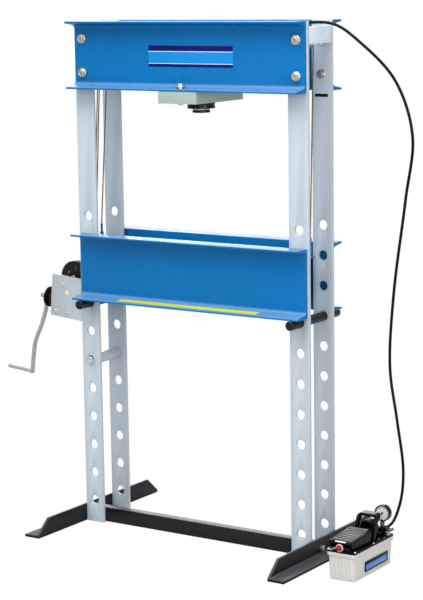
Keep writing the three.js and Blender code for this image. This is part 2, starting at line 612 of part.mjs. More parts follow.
{
  const { x, y, tankTop, corner } = PUMP;
  const { draft, wall, rim, floor } = TANK;
  const inside = draft + wall;
  const shell = roundedBlock(inset(x, draft), inset(y, draft), [0, tankTop - rim + 2], corner - 2);
  const lip = roundedBlock(x, y, [tankTop - rim, tankTop], corner);
  const hollow = roundedBlock(inset(x, inside), inset(y, inside), [floor, tankTop + 5], corner - 4);
  const recess = block([x[1] - WINDOW.depth, x[1] + 5], WINDOW.y, WINDOW.z);
  add('pump_tank', 'tank_plastic', cut(fuse(shell, lip), hollow, recess));
  const paneX = [x[1] - WINDOW.depth + GAP, x[1] - WINDOW.paneFace];
  add('pump_window', 'window_plastic', block(paneX, inset(WINDOW.y, GAP), inset(WINDOW.z, GAP)));
}

const TREADLE = {
  x: [620, 703], front: -233.5, rear: -102, frontTop: 130.5, rearTop: 142, thickness: 9, lip: 4,
  skirt: 5, skirtBottom: 105, pivotY: -150, pivotZ: 115, pin: 3.5,
};
const treadleTop = (y) => TREADLE.frontTop
  + (TREADLE.rearTop - TREADLE.frontTop) * (y - TREADLE.front) / (TREADLE.rear - TREADLE.front);

const BODY = { x: [628, 697], frontTop: 112, top: 118, rear: -104, neck: [645, 689] };
const MOTOR = { radius: 27, z: 132, y: [-64, -28] };
const PASSAGE = { x: [655, 688], top: 111 };
const OUTLET = { x: [664, 688], y: [-2, 22], top: 122, spigotX: 673, spigotZ: 109, spigot: 8, end: 34 };
{
  const footing = PUMP.deck - 1;
  const front = PUMP.y[0] + 1;
  const deck = roundedBlock(PUMP.x, PUMP.y, [PUMP.tankTop + GAP, PUMP.deck], PUMP.corner);
  const base = rail([
    [front, footing], [BODY.rear, footing], [BODY.rear, BODY.top],
    [TREADLE.pivotY, BODY.top], [front, BODY.frontTop],
  ], ...BODY.x);
  const neck = block(BODY.neck, [BODY.rear - 1, MOTOR.y[0] + 1], [footing, BODY.top]);
  const motor = rod('y', [PUMP_MIDDLE, 0, MOTOR.z], MOTOR.radius, ...MOTOR.y, 24);
  const motorHalf = [PUMP_MIDDLE - MOTOR.radius, PUMP_MIDDLE + MOTOR.radius];
  const saddle = block(motorHalf, MOTOR.y, [footing, MOTOR.z]);
  const passage = block(PASSAGE.x, [MOTOR.y[1] - 1, OUTLET.y[0] + 1], [footing, PASSAGE.top]);
  const outlet = block(OUTLET.x, OUTLET.y, [footing, OUTLET.top]);
  const spigotPlace = [OUTLET.spigotX, 0, OUTLET.spigotZ];
  const spigot = rod('y', spigotPlace, OUTLET.spigot, OUTLET.y[1] - 1, OUTLET.end, 6);
  const pivotSpan = [TREADLE.x[0] - 1, TREADLE.x[1] + 1];
  const pivot = rod('x', [0, TREADLE.pivotY, TREADLE.pivotZ], TREADLE.pin, ...pivotSpan, 16);
  const feed = [passage, outlet, spigot];
  add('pump_body', 'black_plastic', fuse(deck, base, neck, motor, saddle, ...feed, pivot));
}
{
  const { x, front, rear, thickness, lip, skirt, skirtBottom, pivotY, pivotZ, pin } = TREADLE;
  const plate = rail([
    [front, treadleTop(front) - thickness], [front, treadleTop(front) - lip],
    [front + lip, treadleTop(front + lip)], [rear - lip, treadleTop(rear - lip)],
    [rear, treadleTop(rear) - lip], [rear, treadleTop(rear) - thickness],
  ].reverse(), ...x);
  const skirtOutline = [
    [front + 2, treadleTop(front) - thickness + 1], [front + 6, skirtBottom + 4],
    [pivotY - 30, skirtBottom], [rear - 6, skirtBottom], [rear - 2, treadleTop(rear) - thickness + 1],
  ];
  const skirts = [[x[0], x[0] + skirt], [x[1] - skirt, x[1]]].map((span) => rail(skirtOutline, ...span));
  const bore = rod('x', [0, pivotY, pivotZ], pin + GAP, x[0] - 5, x[1] + 5, 16);
  add('pump_treadle', 'black_plastic', cut(fuse(plate, ...skirts), bore));
}

// Carrying handle: an arch seen from the front, leaning back over the air motor seen from the side.
const HANDLE = {
  thickness: 10,
  arch: [
    [636, PUMP.deck], [636, 160], [639, 173], [646, 179],
    [694, 179], [700, 174], [701, 166], [701, PUMP.deck],
  ],
  side: [[-99, 90], [-87, 90], [-62, 157], [-34, 178], [-30, 192], [-62, 192], [-80, 158]],
};
{
  const arch = slab(ribbon(HANDLE.arch, HANDLE.thickness), -FAR, FAR);
  const aboveDeck = block([0, FAR], [-FAR, FAR], [PUMP.deck + GAP, FAR]);
  add('pump_handle', 'black_plastic', common(common(arch, rail(HANDLE.side, 0, FAR)), aboveDeck));
}

const INLET = { x: 662, z: 110.5, flange: 12.5, collar: 10.5, nipple: 5, front: -254 };
{
  const { flange, collar, nipple, front } = INLET;
  const seat = PUMP.y[0] - GAP;
  add('pump_air_inlet', 'red_plastic', turned('y', [INLET.x, 0, INLET.z], [
    [0, front], [nipple, front], [nipple + 1, front + 8], [collar, front + 9], [collar, seat - 4],
    [flange, seat - 3.5], [flange, seat], [0, seat],
  ], 20));
}

const GAUGE = { x: 682, z: 167.5, radius: 27.5, y: [5, 27], bezel: 3, recess: 4 };
const STEM = { x: 680, y: 13, radius: 5, top: 150, nut: 8, nutZ: [128, 138] };
const NEEDLE = { degrees: 225, length: 21, tail: 6, half: 1.6, tailHalf: 1.2, hub: 3 };
{
  const { radius, bezel, recess } = GAUGE;
  const [front, rear] = GAUGE.y;
  const clock = turned('y', [GAUGE.x, 0, GAUGE.z], [
    [0, front + recess], [radius - bezel, front + recess], [radius - bezel + 1, front], [radius, front + 1],
    [radius, rear - bezel], [radius - bezel, rear], [0, rear],
  ], 32);
  const stem = rod('z', [STEM.x, STEM.y, 0], STEM.radius, OUTLET.top + GAP, STEM.top, 12);
  const hexagon = rod('z', [STEM.x, STEM.y, 0], STEM.nut, ...STEM.nutZ, 6);
  add('pump_gauge', 'gauge_metal', fuse(clock, stem, hexagon));

  // The hand is drawn pointing along +X and then turned to its place.
  const { length, tail, half, tailHalf, hub } = NEEDLE;
  const hand = slab([[length, 0], [0, half], [-tail, tailHalf], [-tail, -tailHalf], [0, -half]], 2.4, 3.2);
  hand.rotateY(THREE.MathUtils.degToRad(-NEEDLE.degrees)).translate(GAUGE.x, front, GAUGE.z);
  add('gauge_needle', 'black_plastic', fuse(
    hand, rod('y', [GAUGE.x, 0, GAUGE.z], hub, front + 1.8, front + 3.6, 16)));
}

const RELEASE = { y: 14, z: 112, hub: 6, hubEnd: 702, blade: { x: [699, 713], y: [4, 32], half: 2.5 } };
{
  const { y, z, hub, hubEnd, blade } = RELEASE;
  add('release_lever', 'black_plastic', fuse(
    rod('x', [0, y, z], hub, OUTLET.x[1] + GAP, hubEnd, 16),
    block(blade.x, blade.y, [z - blade.half, z + blade.half])));
}

// ---------------------------------------------------------------- hose
// It leaves the cylinder's fitting, arches out to the right and comes down behind the pump.
const HOSE_RADIUS = 4.75;
const HOSE_STOPS = [
  [PORT.end + 0.6, 0, PORT.z], [90, 0, PORT.z], [130, -7, 1672], [240, -25, 1712], [345, -25, 1746],
  [440, -25, 1758.5], [530, -23, 1752], [616, -16, 1697], [735, -4, 1578], [787, 14, 1408], [753, 33, 1199],
  [697, 58, 885], [675, 75, 640], [696, 84, 467], [714, 94, 300], [704, 97, 195], [683, 84, 122],
  [676, 56, OUTLET.spigotZ], [OUTLET.spigotX, 44, OUTLET.spigotZ],
  [OUTLET.spigotX, OUTLET.end + 0.6, OUTLET.spigotZ],
];
{
  const extrudePath = new THREE.CatmullRomCurve3(HOSE_STOPS.map((stop) => new THREE.Vector3(...stop)));
  const sides = 8;
  const section = shapeOf(Array.from({ length: sides }, (_, k) => {
    const angle = k / sides * 2 * Math.PI;
    return [HOSE_RADIUS * Math.cos(angle), HOSE_RADIUS * Math.sin(angle)];
  }));
  const sweep = { steps: 60, bevelEnabled: false, extrudePath };
  add('hose', 'hose_rubber', new THREE.ExtrudeGeometry(section, sweep));
}

// The pump and the crank stick out by different amounts, so the whole is centred at the end.
const extent = new THREE.Box3().setFromObject(press);
press.position.x = -(extent.min.x + extent.max.x) / 2;

export default press;
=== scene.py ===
"""Finished look of the hydraulic shop press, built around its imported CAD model.

Metres, +Z up, front is -Y. Places come from the boxes of the CAD nodes and from the joints. A piece
that stands for a CAD node keeps that node's sizes and adds the finer surface.
"""
import json
import math

import bmesh
import bpy
from mathutils import Matrix, Vector


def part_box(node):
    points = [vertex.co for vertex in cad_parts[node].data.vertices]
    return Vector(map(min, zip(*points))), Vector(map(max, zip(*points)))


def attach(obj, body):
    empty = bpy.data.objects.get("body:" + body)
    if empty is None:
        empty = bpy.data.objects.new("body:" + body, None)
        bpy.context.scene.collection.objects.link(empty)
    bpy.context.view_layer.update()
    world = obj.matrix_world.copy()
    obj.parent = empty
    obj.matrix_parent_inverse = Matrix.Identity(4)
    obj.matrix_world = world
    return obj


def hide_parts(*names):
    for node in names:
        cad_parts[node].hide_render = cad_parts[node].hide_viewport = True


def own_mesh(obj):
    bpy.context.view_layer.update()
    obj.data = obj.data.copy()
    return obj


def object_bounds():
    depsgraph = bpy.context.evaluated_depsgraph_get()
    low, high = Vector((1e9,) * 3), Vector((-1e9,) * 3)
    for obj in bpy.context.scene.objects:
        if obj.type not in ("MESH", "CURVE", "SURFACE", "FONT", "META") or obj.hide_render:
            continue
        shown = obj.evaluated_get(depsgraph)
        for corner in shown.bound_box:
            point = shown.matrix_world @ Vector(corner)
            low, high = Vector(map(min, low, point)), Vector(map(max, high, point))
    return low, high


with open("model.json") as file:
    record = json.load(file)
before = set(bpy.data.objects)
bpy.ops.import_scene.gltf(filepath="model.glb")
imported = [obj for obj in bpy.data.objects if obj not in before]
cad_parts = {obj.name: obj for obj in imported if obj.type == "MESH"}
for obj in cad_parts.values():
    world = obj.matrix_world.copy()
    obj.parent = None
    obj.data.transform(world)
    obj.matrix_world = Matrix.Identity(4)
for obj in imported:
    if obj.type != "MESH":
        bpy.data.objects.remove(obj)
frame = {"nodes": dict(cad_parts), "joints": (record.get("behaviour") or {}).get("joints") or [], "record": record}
CAD_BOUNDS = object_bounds()

MM = 0.001
RECORD = frame["record"]
BODY = {node: body for body, nodes in RECORD["behaviour"]["bodies"].items() for node in nodes}
SLOT = {row["node"]: row["material_slot"] for row in RECORD["subparts"]}
JOINT = {joint["name"]: joint for joint in frame["joints"]}

SIDES = {"left": -1, "right": 1}
ROWS = {"front": -1, "rear": 1}

# Middle line between the columns.
MIDDLE = (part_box("column_bar_left_front")[0].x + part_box("column_bar_right_front")[1].x) / 2

# Turns an outline in (u, v) with depth w so that it stands in the named plane.
STAND_XZ = Matrix(((1, 0, 0, 0), (0, 0, -1, 0), (0, 1, 0, 0), (0, 0, 0, 1)))
STAND_YZ = Matrix(((0, 0, 1, 0), (1, 0, 0, 0), (0, 1, 0, 0), (0, 0, 0, 1)))

# Turns millimetres about the middle line into the frame's metres.
PRESS = Matrix.Translation((MIDDLE, 0, 0)) @ Matrix.Diagonal((MM, MM, MM, 1))


def point(x, y, z):
    """A place given in millimetres about the middle line between the columns."""
    return Vector((MIDDLE + x * MM, y * MM, z * MM))


def centre_of(node):
    low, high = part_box(node)
    return (low + high) / 2


def facing(origin, direction):
    """Matrix that puts local +Z along direction, with its origin at origin."""
    turn = Vector((0, 0, 1)).rotation_difference(Vector(direction))
    return Matrix.Translation(origin) @ turn.to_matrix().to_4x4()


# ---------------------------------------------------------------- materials
def linear(hex_colour):
    """Scene-linear RGBA of an sRGB colour such as '1f6fb2'."""
    channels = [int(hex_colour[i:i + 2], 16) / 255 for i in (0, 2, 4)]
    rgb = [c / 12.92 if c <= 0.04045 else ((c + 0.055) / 1.055) ** 2.4 for c in channels]
    return (*rgb, 1.0)


class Shader:
    """A Principled material with a few short calls for wiring procedural nodes into it."""

    def __init__(self, name, colour, roughness, metallic=0.0, shine=0.5):
        self.material = bpy.data.materials.new(name)
        self.material.use_nodes = True
        self.tree = self.material.node_tree
        self.body = self.tree.nodes["Principled BSDF"]
        self.colour = linear(colour)
        self.body.inputs["Metallic"].default_value = metallic
        self.body.inputs["Specular IOR Level"].default_value = shine
        self.place = self.node("ShaderNodeTexCoord").outputs["Object"]
        self.value = None
        self.height = None
        self.roughness = roughness
        self.rough = None

    def node(self, kind, **inputs):
        made = self.tree.nodes.new(kind)
        for key, value in inputs.items():
            socket = made.inputs[key.replace("_", " ")]
            if isinstance(value, bpy.types.NodeSocket):
                self.tree.links.new(value, socket)
            else:
                socket.default_value = value
        return made

    def math(self, operation, a, b):
        made = self.node("ShaderNodeMath")
        made.operation = operation
        for socket, value in zip(made.inputs, (a, b)):
            if isinstance(value, bpy.types.NodeSocket):
                self.tree.links.new(value, socket)
            else:
                socket.default_value = value
        return made.outputs[0]

    def stretched(self, scale):
        return self.node("ShaderNodeMapping", Vector=self.place, Scale=scale).outputs[0]

    def noise(self, scale, detail=3.0, where=None):
        made = self.node("ShaderNodeTexNoise", Vector=where or self.place, Scale=scale, Detail=detail)
        return made.outputs["Fac"]

    def spread(self, source, low, high):
        made = self.node("ShaderNodeMapRange", Value=source)
        made.inputs["From Min"].default_value = 0.25
        made.inputs["From Max"].default_value = 0.75
        made.inputs["To Min"].default_value = low
        made.inputs["To Max"].default_value = high
        return made.outputs[0]

    def shade(self, source, amount):
        """Lightens and darkens the colour by a share, following a 0 to 1 source."""
        factor = self.spread(source, 1 - amount, 1 + amount)
        self.value = self.math("MULTIPLY", self.value, factor) if self.value else factor
        return self

    def facing_up(self, amount):
        """A mask that is nothing on a wall and amount on a face that looks up."""
        normal = self.node("ShaderNodeNewGeometry").outputs["Normal"]
        upward = self.node("ShaderNodeSeparateXYZ", Vector=normal).outputs["Z"]
        return self.spread(upward, 0.0, amount)

    def paint_recess_shade(self, reach, floor):
        """Painted shade: darkens places that see little of their surroundings within reach, down to a share of floor.
        """
        open_sky = self.node("ShaderNodeAmbientOcclusion", Distance=reach).outputs["AO"]
        factor = self.spread(open_sky, floor, 1.0)
        self.value = self.math("MULTIPLY", self.value, factor) if self.value else factor
        return self

    def relief(self, source, strength, distance):
        """Adds fine surface relief, distance deep, from a 0 to 1 source."""
        made = self.node("ShaderNodeBump", Height=source, Strength=strength, Distance=distance)
        if self.height:
            self.tree.links.new(self.height, made.inputs["Normal"])
        self.height = made.outputs[0]
        return self

    def gloss(self, source, amount):
        self.rough = self.spread(source, self.roughness - amount, self.roughness + amount)
        return self

    def done(self, tint=None, tint_where=None):
        links = self.tree.links
        paint = self.node("ShaderNodeHueSaturation", Color=self.colour)
        if self.value:
            links.new(self.value, paint.inputs["Value"])
        result = paint.outputs[0]
        if tint:
            mix = self.node("ShaderNodeMix")
            mix.data_type = "RGBA"
            links.new(tint_where, mix.inputs[0])
            links.new(result, mix.inputs[6])
            mix.inputs[7].default_value = linear(tint)
            result = mix.outputs[2]
        links.new(result, self.body.inputs["Base Color"])
        self.body.inputs["Roughness"].default_value = self.roughness
        if self.rough:
            links.new(self.rough, self.body.inputs["Roughness"])
        if self.height:
            links.new(self.height, self.body.inputs["Normal"])
        return self.material


def sprayed(name, colour, roughness, mottle=0.03, shine=0.5, peel=0.35, painted_light_tint=None):
    """Sprayed paint: slight cloudiness and orange peel; given a light colour, also painted shade in recesses and a
    painted lighter top of that colour on what looks up.
    """
    s = Shader(name, colour, roughness, shine=shine)
    s.shade(s.noise(5.0, 4.0), mottle).shade(s.noise(60.0, 2.0), mottle * 0.5)
    if painted_light_tint:
        # painted shade: darker where little of the surroundings is open
        s.paint_recess_shade(0.2, 0.35)
    s.relief(s.noise(420.0, 2.0), peel, 0.00006).relief(s.noise(25.0, 2.0), peel, 0.0002)
    s.gloss(s.noise(18.0, 4.0), 0.07)
    # painted light: faces that look up are mixed toward the given colour, as if lit from above
    return s.done(painted_light_tint, s.facing_up(0.3)) if painted_light_tint else s.done()


def plated(name, colour, roughness, spangle=0.10, grain=300.0, tint=None):
    """Zinc-like plating: small crystal patches that differ in tone, with a faint warm stain."""
    s = Shader(name, colour, roughness, metallic=0.85)
    cells = s.node("ShaderNodeTexVoronoi", Vector=s.place, Scale=grain)
    patch = s.node("ShaderNodeRGBToBW", Color=cells.outputs["Color"]).outputs[0]
    s.shade(patch, spangle).shade(s.noise(40.0), 0.05)
    s.relief(patch, 0.15, 0.00004).relief(s.noise(900.0), 0.2, 0.00003)
    s.gloss(s.noise(120.0), 0.08)
    if tint:
        stain = s.spread(s.noise(30.0, 3.0), 0.0, 0.35)
        return s.done(tint, stain)
    return s.done()


def ground_steel(name, colour, roughness, along=(30.0, 30.0, 900.0), metallic=1.0):
    """Bare or oxidised steel with the fine lines of grinding or turning."""
    s = Shader(name, colour, roughness, metallic=metallic)
    lines = s.noise(1.0, 4.0, s.stretched(along))
    s.shade(lines, 0.10).shade(s.noise(25.0), 0.06)
    s.relief(lines, 0.25, 0.00005)
    return s.gloss(s.noise(60.0), 0.09).done()


def moulded(name, colour, roughness, texture=700.0, depth=0.00008, mottle=0.03, shine=0.5):
    """Injection-moulded plastic or rubber with a fine eroded texture."""
    s = Shader(name, colour, roughness, shine=shine)
    s.shade(s.noise(9.0), mottle)
    s.relief(s.noise(texture, 2.0), 0.4, depth).relief(s.noise(20.0), 0.2, 0.0003)
    return s.gloss(s.noise(35.0), 0.06).done()


# Painted light: a lighter copy of the frame paint for the sheave brackets, standing in for the stronger light on them.
LIT_FRAME_PAINT = sprayed("frame_paint_lit_copy", "d2e2ec", 0.4, mottle=0.025)
MATERIALS = {
    "frame_paint": sprayed("silver_grey_paint", "b2bec6", 0.4, mottle=0.025),
    # The blue and black paints get painted shade in recesses and a painted lighter top.
    "beam_paint": sprayed("blue_paint", "076aa8", 0.3, mottle=0.035, shine=0.14, painted_light_tint="9fc3e0"),
    "black_paint": sprayed("black_paint", "131317", 0.34, mottle=0.12, shine=0.3, painted_light_tint="77767c"),
    "carriage_paint": sprayed("grey_green_paint", "9aaba1", 0.45, mottle=0.04),
    "zinc": plated("zinc_plate", "d0d1cd", 0.27, spangle=0.05, tint="c9bf9f"),
    "winch_zinc": plated("galvanised_plate", "d2dce2", 0.4, spangle=0.05, grain=260.0),
    "steel": ground_steel("bright_steel", "bcbbb8", 0.24, metallic=0.7),
    "black_oxide": ground_steel("blackened_steel", "09090a", 0.3, metallic=0.3),
    "rope_steel": ground_steel("rope_steel", "6e6a60", 0.4, along=(300.0, 300.0, 60.0)),
    "hose_rubber": moulded("hose_rubber", "050506", 0.42, shine=0.15),
    "tank_plastic": moulded("off_white_plastic", "c9c9c3", 0.42),
    "window_plastic": moulded("blue_window", "3d7fc8", 0.12, depth=0.00002, mottle=0.18),
    "black_plastic": moulded("black_plastic", "040405", 0.2, mottle=0.1, shine=0.13),
    "red_plastic": moulded("red_plastic", "8a2026", 0.3, depth=0.00003),
    "gauge_metal": ground_steel("gauge_case", "b9b9b6", 0.14, along=(200.0, 200.0, 200.0)),
}
# Painted highlight: a pale plastic for the light caught on the treadle's front edge.
EDGE_HIGHLIGHT_PLASTIC = moulded("edge_highlight_pale", "e6e8e6", 0.3)
DIAL_FACE = moulded("dial_face", "d4d3cd", 0.35, depth=0.00001)
TREAD_GREY = moulded("tread_rubber", "828284", 0.5)
LABEL_NAVY = moulded("label_navy", "0c1463", 0.35, depth=0.00001, shine=0.12)
LABEL_BLUE = moulded("label_blue", "1584cb", 0.32, depth=0.00001, shine=0.12)
LABEL_WHITE = moulded("label_white", "c8dcec", 0.35, depth=0.00001, shine=0.12)
STRIP_YELLOW = moulded("strip_yellow", "d4d625", 0.35, depth=0.00001, mottle=0.06)
STICKER = moulded("sticker", "cfd1c0", 0.45)
SEAL_PINK = moulded("seal_pink", "cfa3a8", 0.4)
BLACK_GLOSS = moulded("black_gloss", "040405", 0.12, depth=0.00001, shine=0.25)
FITTING_BRASS = ground_steel("brass", "7d5f45", 0.3)
BOLT_MARK = ground_steel("bolt_mark", "b3a98f", 0.5)


# ---------------------------------------------------------------- outlines
def arc(cx, cy, radius, start, end, steps):
    """Points on an arc, in degrees, both ends included."""
    angles = [math.radians(start + (end - start) * k / steps) for k in range(steps + 1)]
    return [(cx + radius * math.cos(a), cy + radius * math.sin(a)) for a in angles]


def circle(cx, cy, radius, steps=48):
    return arc(cx, cy, radius, 0, 360, steps)[:-1]


def rectangle(x, y):
    return [(x[0], y[0]), (x[1], y[0]), (x[1], y[1]), (x[0], y[1])]


def softened(outline, radius, steps=4, closed=True):
    """The outline with its corners rounded. radius is one number, or one for each corner."""
    radii = radius if isinstance(radius, (list, tuple)) else [radius] * len(outline)
    points = [Vector(p) for p in outline]
    result = []
    for i, corner in enumerate(points):
        if not closed and i in (0, len(points) - 1):
            result.append(tuple(corner))
            continue
        before = points[i - 1] - corner
        after = points[(i + 1) % len(points)] - corner
        cut = min(radii[i], before.length * 0.49, after.length * 0.49)
        if cut <= 0:
            result.append(tuple(corner))
            continue
        start = corner + before.normalized() * cut
        end = corner + after.normalized() * cut
        for k in range(steps + 1):
            t = k / steps
            bend = start * (1 - t) ** 2 + corner * 2 * t * (1 - t) + end * t ** 2
            result.append(tuple(bend))
    return result


def ribbon(path, thickness):
    """Outline of a flat strip of even thickness along a path of (u, v) points."""
    points = [Vector(p) for p in path]
    one, other = [], []
    for i, p in enumerate(points):
        along = points[min(i + 1, len(points) - 1)] - points[max(i - 1, 0)]
        across = Vector((-along.y, along.x)).normalized() * thickness / 2
        one.append(tuple(p + across))
        other.append(tuple(p - across))
    return one + other[::-1]


def spline(points, steps=8):
    """A smooth path through points (Catmull-Rom, centripetal), both ends kept."""
    stops = [Vector(p) for p in points]
    stops = [stops[0] * 2 - stops[1], *stops, stops[-1] * 2 - stops[-2]]
    path = []
    for a, b, c, d in zip(stops, stops[1:], stops[2:], stops[3:]):
        gaps = [math.sqrt(max((q - p).length, 1e-6)) for p, q in ((a, b), (b, c), (c, d))]
        enter = ((b - a) / gaps[0] - (c - a) / (gaps[0] + gaps[1]) + (c - b) / gaps[1]) * gaps[1]
        leave = ((c - b) / gaps[1] - (d - b) / (gaps[1] + gaps[2]) + (d - c) / gaps[2]) * gaps[1]
        for k in range(steps):
            t = k / steps
            path.append(b + enter * t + (c * 3 - b * 3 - enter * 2 - leave) * t ** 2
                        + (b * 2 - c * 2 + enter + leave) * t ** 3)
    return path + [stops[-2]]


# ---------------------------------------------------------------- solids
class Solid:
    """Collects closed shells, in metres, into one mesh."""

    def __init__(self):
        self.bm = bmesh.new()

    def rings(self, rings, closed=False, place=Matrix()):
        """Faces between successive rings of points. A ring of one point is a pole."""
        made = [[self.bm.verts.new(place @ Vector(p)) for p in ring] for ring in rings]
        pairs = list(zip(made, made[1:]))
        if closed:
            pairs.append((made[-1], made[0]))
        for a, b in pairs:
            count = max(len(a), len(b))
            for k in range(count):
                n = (k + 1) % count
                corners = [a[k % len(a)], a[n % len(a)], b[n % len(b)], b[k % len(b)]]
                unique = list(dict.fromkeys(corners))
                if len(unique) > 2:
                    self.bm.faces.new(unique)
        if not closed:
            for ring, flip in ((made[0], True), (made[-1], False)):
                if len(ring) > 2:
                    self.bm.faces.new(ring[::-1] if flip else ring)
        return self

    def lathe(self, profile, place=Matrix(), closed=False, steps=64):
        """Turned shape about local Z from (radius, height) pairs."""
        rings = []
        for radius, height in profile:
            if radius < 1e-7:
                rings.append([(0, 0, height)])
            else:
                rings.append([(x, y, height) for x, y in circle(0, 0, radius, steps)])
        return self.rings(rings, closed, place)

    def disc(self, radius, low, high, place=Matrix(), edge=0.6 * MM, steps=48):
        """Plain turned disc or pin with eased edges."""
        profile = softened([(0, low), (radius, low), (radius, high), (0, high)], edge, 3, closed=False)
        return self.lathe(profile, place, steps=steps)

    def hexagon(self, across, low, high, place=Matrix(), dish=True):
        """Hexagon head or nut with a chamfered crown."""
        flat = across / 2
        crown = flat * 0.95
        slope = math.tan(math.radians(28))

        def ring(height_of, limit=None):
            points = []
            for k in range(48):
                angle = 2 * math.pi * k / 48
                sector = (angle + math.pi / 6) % (math.pi / 3) - math.pi / 6
                reach = flat / math.cos(sector)
                radius = min(reach, limit) if limit else reach
                points.append((radius * math.cos(angle), radius * math.sin(angle), height_of(reach)))
            return points

        rings = [[(0, 0, low)], ring(lambda r: low), ring(lambda r: high - (r - crown) * slope),
                 ring(lambda r: high, crown)]
        if dish:
            sunk = high - across * 0.03
            rings += [ring(lambda r: high, crown * 0.62), ring(lambda r: sunk, crown * 0.56)]
        rings.append([(0, 0, rings[-1][0][2])])
        return self.rings(rings, place=place)

    def mesh(self, mesh, place=Matrix()):
        mesh.transform(place)
        self.bm.from_mesh(mesh)
        bpy.data.meshes.remove(mesh)
        return self

    def prism(self, loops, length, place=Matrix(), edge=0.8 * MM):
        """Plate or bar from an outer loop and any holes, centred on its length, with eased edges."""
        curve = bpy.data.curves.new("outline", "CURVE")
        curve.dimensions = "2D"
        curve.fill_mode = "BOTH"
        curve.extrude = length / 2 - edge
        curve.bevel_depth = edge
        curve.bevel_resolution = 1
        curve.offset = -edge
        for loop in loops:
            line = curve.splines.new("POLY")
            line.points.add(len(loop) - 1)
            for control, (u, v) in zip(line.points, loop):
                control.co = (u, v, 0, 1)
            line.use_cyclic_u = True
        holder = bpy.data.objects.new("outline", curve)
        bpy.context.scene.collection.objects.link(holder)
        mesh = bpy.data.meshes.new_from_object(holder)
        bpy.data.objects.remove(holder)
        bpy.data.curves.remove(curve)
        welded = bmesh.new()
        welded.from_mesh(mesh)
        bmesh.ops.remove_doubles(welded, verts=welded.verts, dist=1e-6)
        welded.to_mesh(mesh)
        welded.free()
        return self.mesh(mesh, place)

    def brick(self, low, high, edge=0.8 * MM, place=Matrix()):
        """Box between two corners with rounded edges."""
        box = bmesh.new()
        size = Vector(high) - Vector(low)
        middle = (Vector(high) + Vector(low)) / 2
        bmesh.ops.create_cube(box, size=1, matrix=Matrix.Translation(middle) @ Matrix.Diagonal((*size, 1)))
        reach = min(edge, min(size) * 0.45)
        bmesh.ops.bevel(box, geom=box.edges[:], offset=reach, segments=3, profile=0.5, affect="EDGES")
        mesh = bpy.data.meshes.new("brick")
        box.to_mesh(mesh)
        box.free()
        return self.mesh(mesh, place)

    def sweep(self, path, section, twist=0.0):
        """A section of (u, v) points carried along a path; twist is in turns per metre."""
        points = [Vector(p) for p in path]
        start = (points[1] - points[0]).normalized()
        side = start.orthogonal().normalized()
        rings, travelled, along = [], 0.0, start
        for i, p in enumerate(points):
            ahead = (points[min(i + 1, len(points) - 1)] - points[max(i - 1, 0)]).normalized()
            side = along.rotation_difference(ahead) @ side
            along = ahead
            if i:
                travelled += (p - points[i - 1]).length
            u = Matrix.Rotation(travelled * twist * 2 * math.pi, 3, along) @ side
            v = along.cross(u)
            rings.append([p + u * a + v * b for a, b in section])
        return self.rings(rings)


def shown(solid, name, body, slot, material=None, smooth=35):
    """Makes a Solid into a piece that rides on a body."""
    bmesh.ops.recalc_face_normals(solid.bm, faces=solid.bm.faces)
    mesh = bpy.data.meshes.new(name)
    solid.bm.to_mesh(mesh)
    solid.bm.free()
    mesh.shade_smooth()
    mesh.set_sharp_from_angle(angle=math.radians(smooth))
    piece = bpy.data.objects.new(name, mesh)
    bpy.context.scene.collection.objects.link(piece)
    mesh.materials.append(material or MATERIALS[slot])
    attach(piece, body)
    return piece


def stand_in(solid, node, material=None, smooth=35):
    """Makes a Solid into the piece that stands for a CAD node."""
    piece = shown(solid, f"{node}_fine", BODY[node], SLOT[node], material, smooth)
    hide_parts(node)
    return piece


def keep_cad(node, edge, angle=30, material=None):
    """Dresses a CAD node whose shape is right: its slot's material, or another, and eased edges."""
    cad = frame["nodes"][node]
    normals = cad.data.attributes.get("custom_normal")
    if normals:
        cad.data.attributes.remove(normals)
    cad.data.shade_smooth()
    cad.data.set_sharp_from_angle(angle=math.radians(angle))
    cad.data.materials.clear()
    cad.data.materials.append(material or MATERIALS[SLOT[node]])
    weld = cad.modifiers.new("weld", "WELD")
    weld.merge_threshold = 0.00001
    flat = cad.modifiers.new("flat", "DECIMATE")
    flat.decimate_type = "DISSOLVE"
    flat.angle_limit = math.radians(1)
    bevel = cad.modifiers.new("edge", "BEVEL")
    bevel.width = edge
    bevel.segments = 3
    bevel.limit_method = "ANGLE"
    bevel.angle_limit = math.radians(angle)
    bevel.harden_normals = False


# ---------------------------------------------------------------- columns and beams
HOLE_PITCH = 101.6 * MM
FIRST_HOLE = 80 * MM
HOLE_COUNT = 11
HOLE_RADIUS = 16.6 * MM


def column_bars():
    for side in SIDES:
        for row in ROWS:
            node = f"column_bar_{side}_{row}"
            low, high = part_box(node)
            middle = centre_of(node)
            loops = [rectangle((low.x, high.x), (low.z, high.z))]
            for index in range(HOLE_COUNT):
                loops.append(circle(middle.x, FIRST_HOLE + index * HOLE_PITCH, HOLE_RADIUS))
            place = Matrix.Translation((0, middle.y, 0)) @ STAND_XZ
            bar = Solid().prism(loops, high.y - low.y, place, edge=1.2 * MM)
            stand_in(bar, node)


def channel_outline(low, high, back_is_high):
    """Outline of a rolled channel in (y, z): web at the back, sloping flanges with soft toes."""
    web, tip, root = 7.2 * MM, 7 * MM, 15 * MM
    flange = high.y - low.y
    height = high.z - low.z
    half = [(0, 0), (flange, 0), (flange, tip), (web, root), (web, height - root),
            (flange, height - tip), (flange, height), (0, height)]
    radii = [1.5 * MM, 1.5 * MM, 4 * MM, 14 * MM, 14 * MM, 4 * MM, 1.5 * MM, 1.5 * MM]
    outline = softened(half, radii, 6)
    if back_is_high:
        return [(high.y - out, low.z + up) for out, up in outline]
    return [(low.y + out, low.z + up) for out, up in outline]


def beams():
    for beam in ("head", "bed"):
        for row, sign in ROWS.items():
            node = f"{beam}_channel_{row}"
            low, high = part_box(node)
            place = Matrix.Translation(((low.x + high.x) / 2, 0, 0)) @ STAND_YZ
            outline = channel_outline(low, high, sign < 0)
            stand_in(Solid().prism([outline], high.x - low.x, place), node)


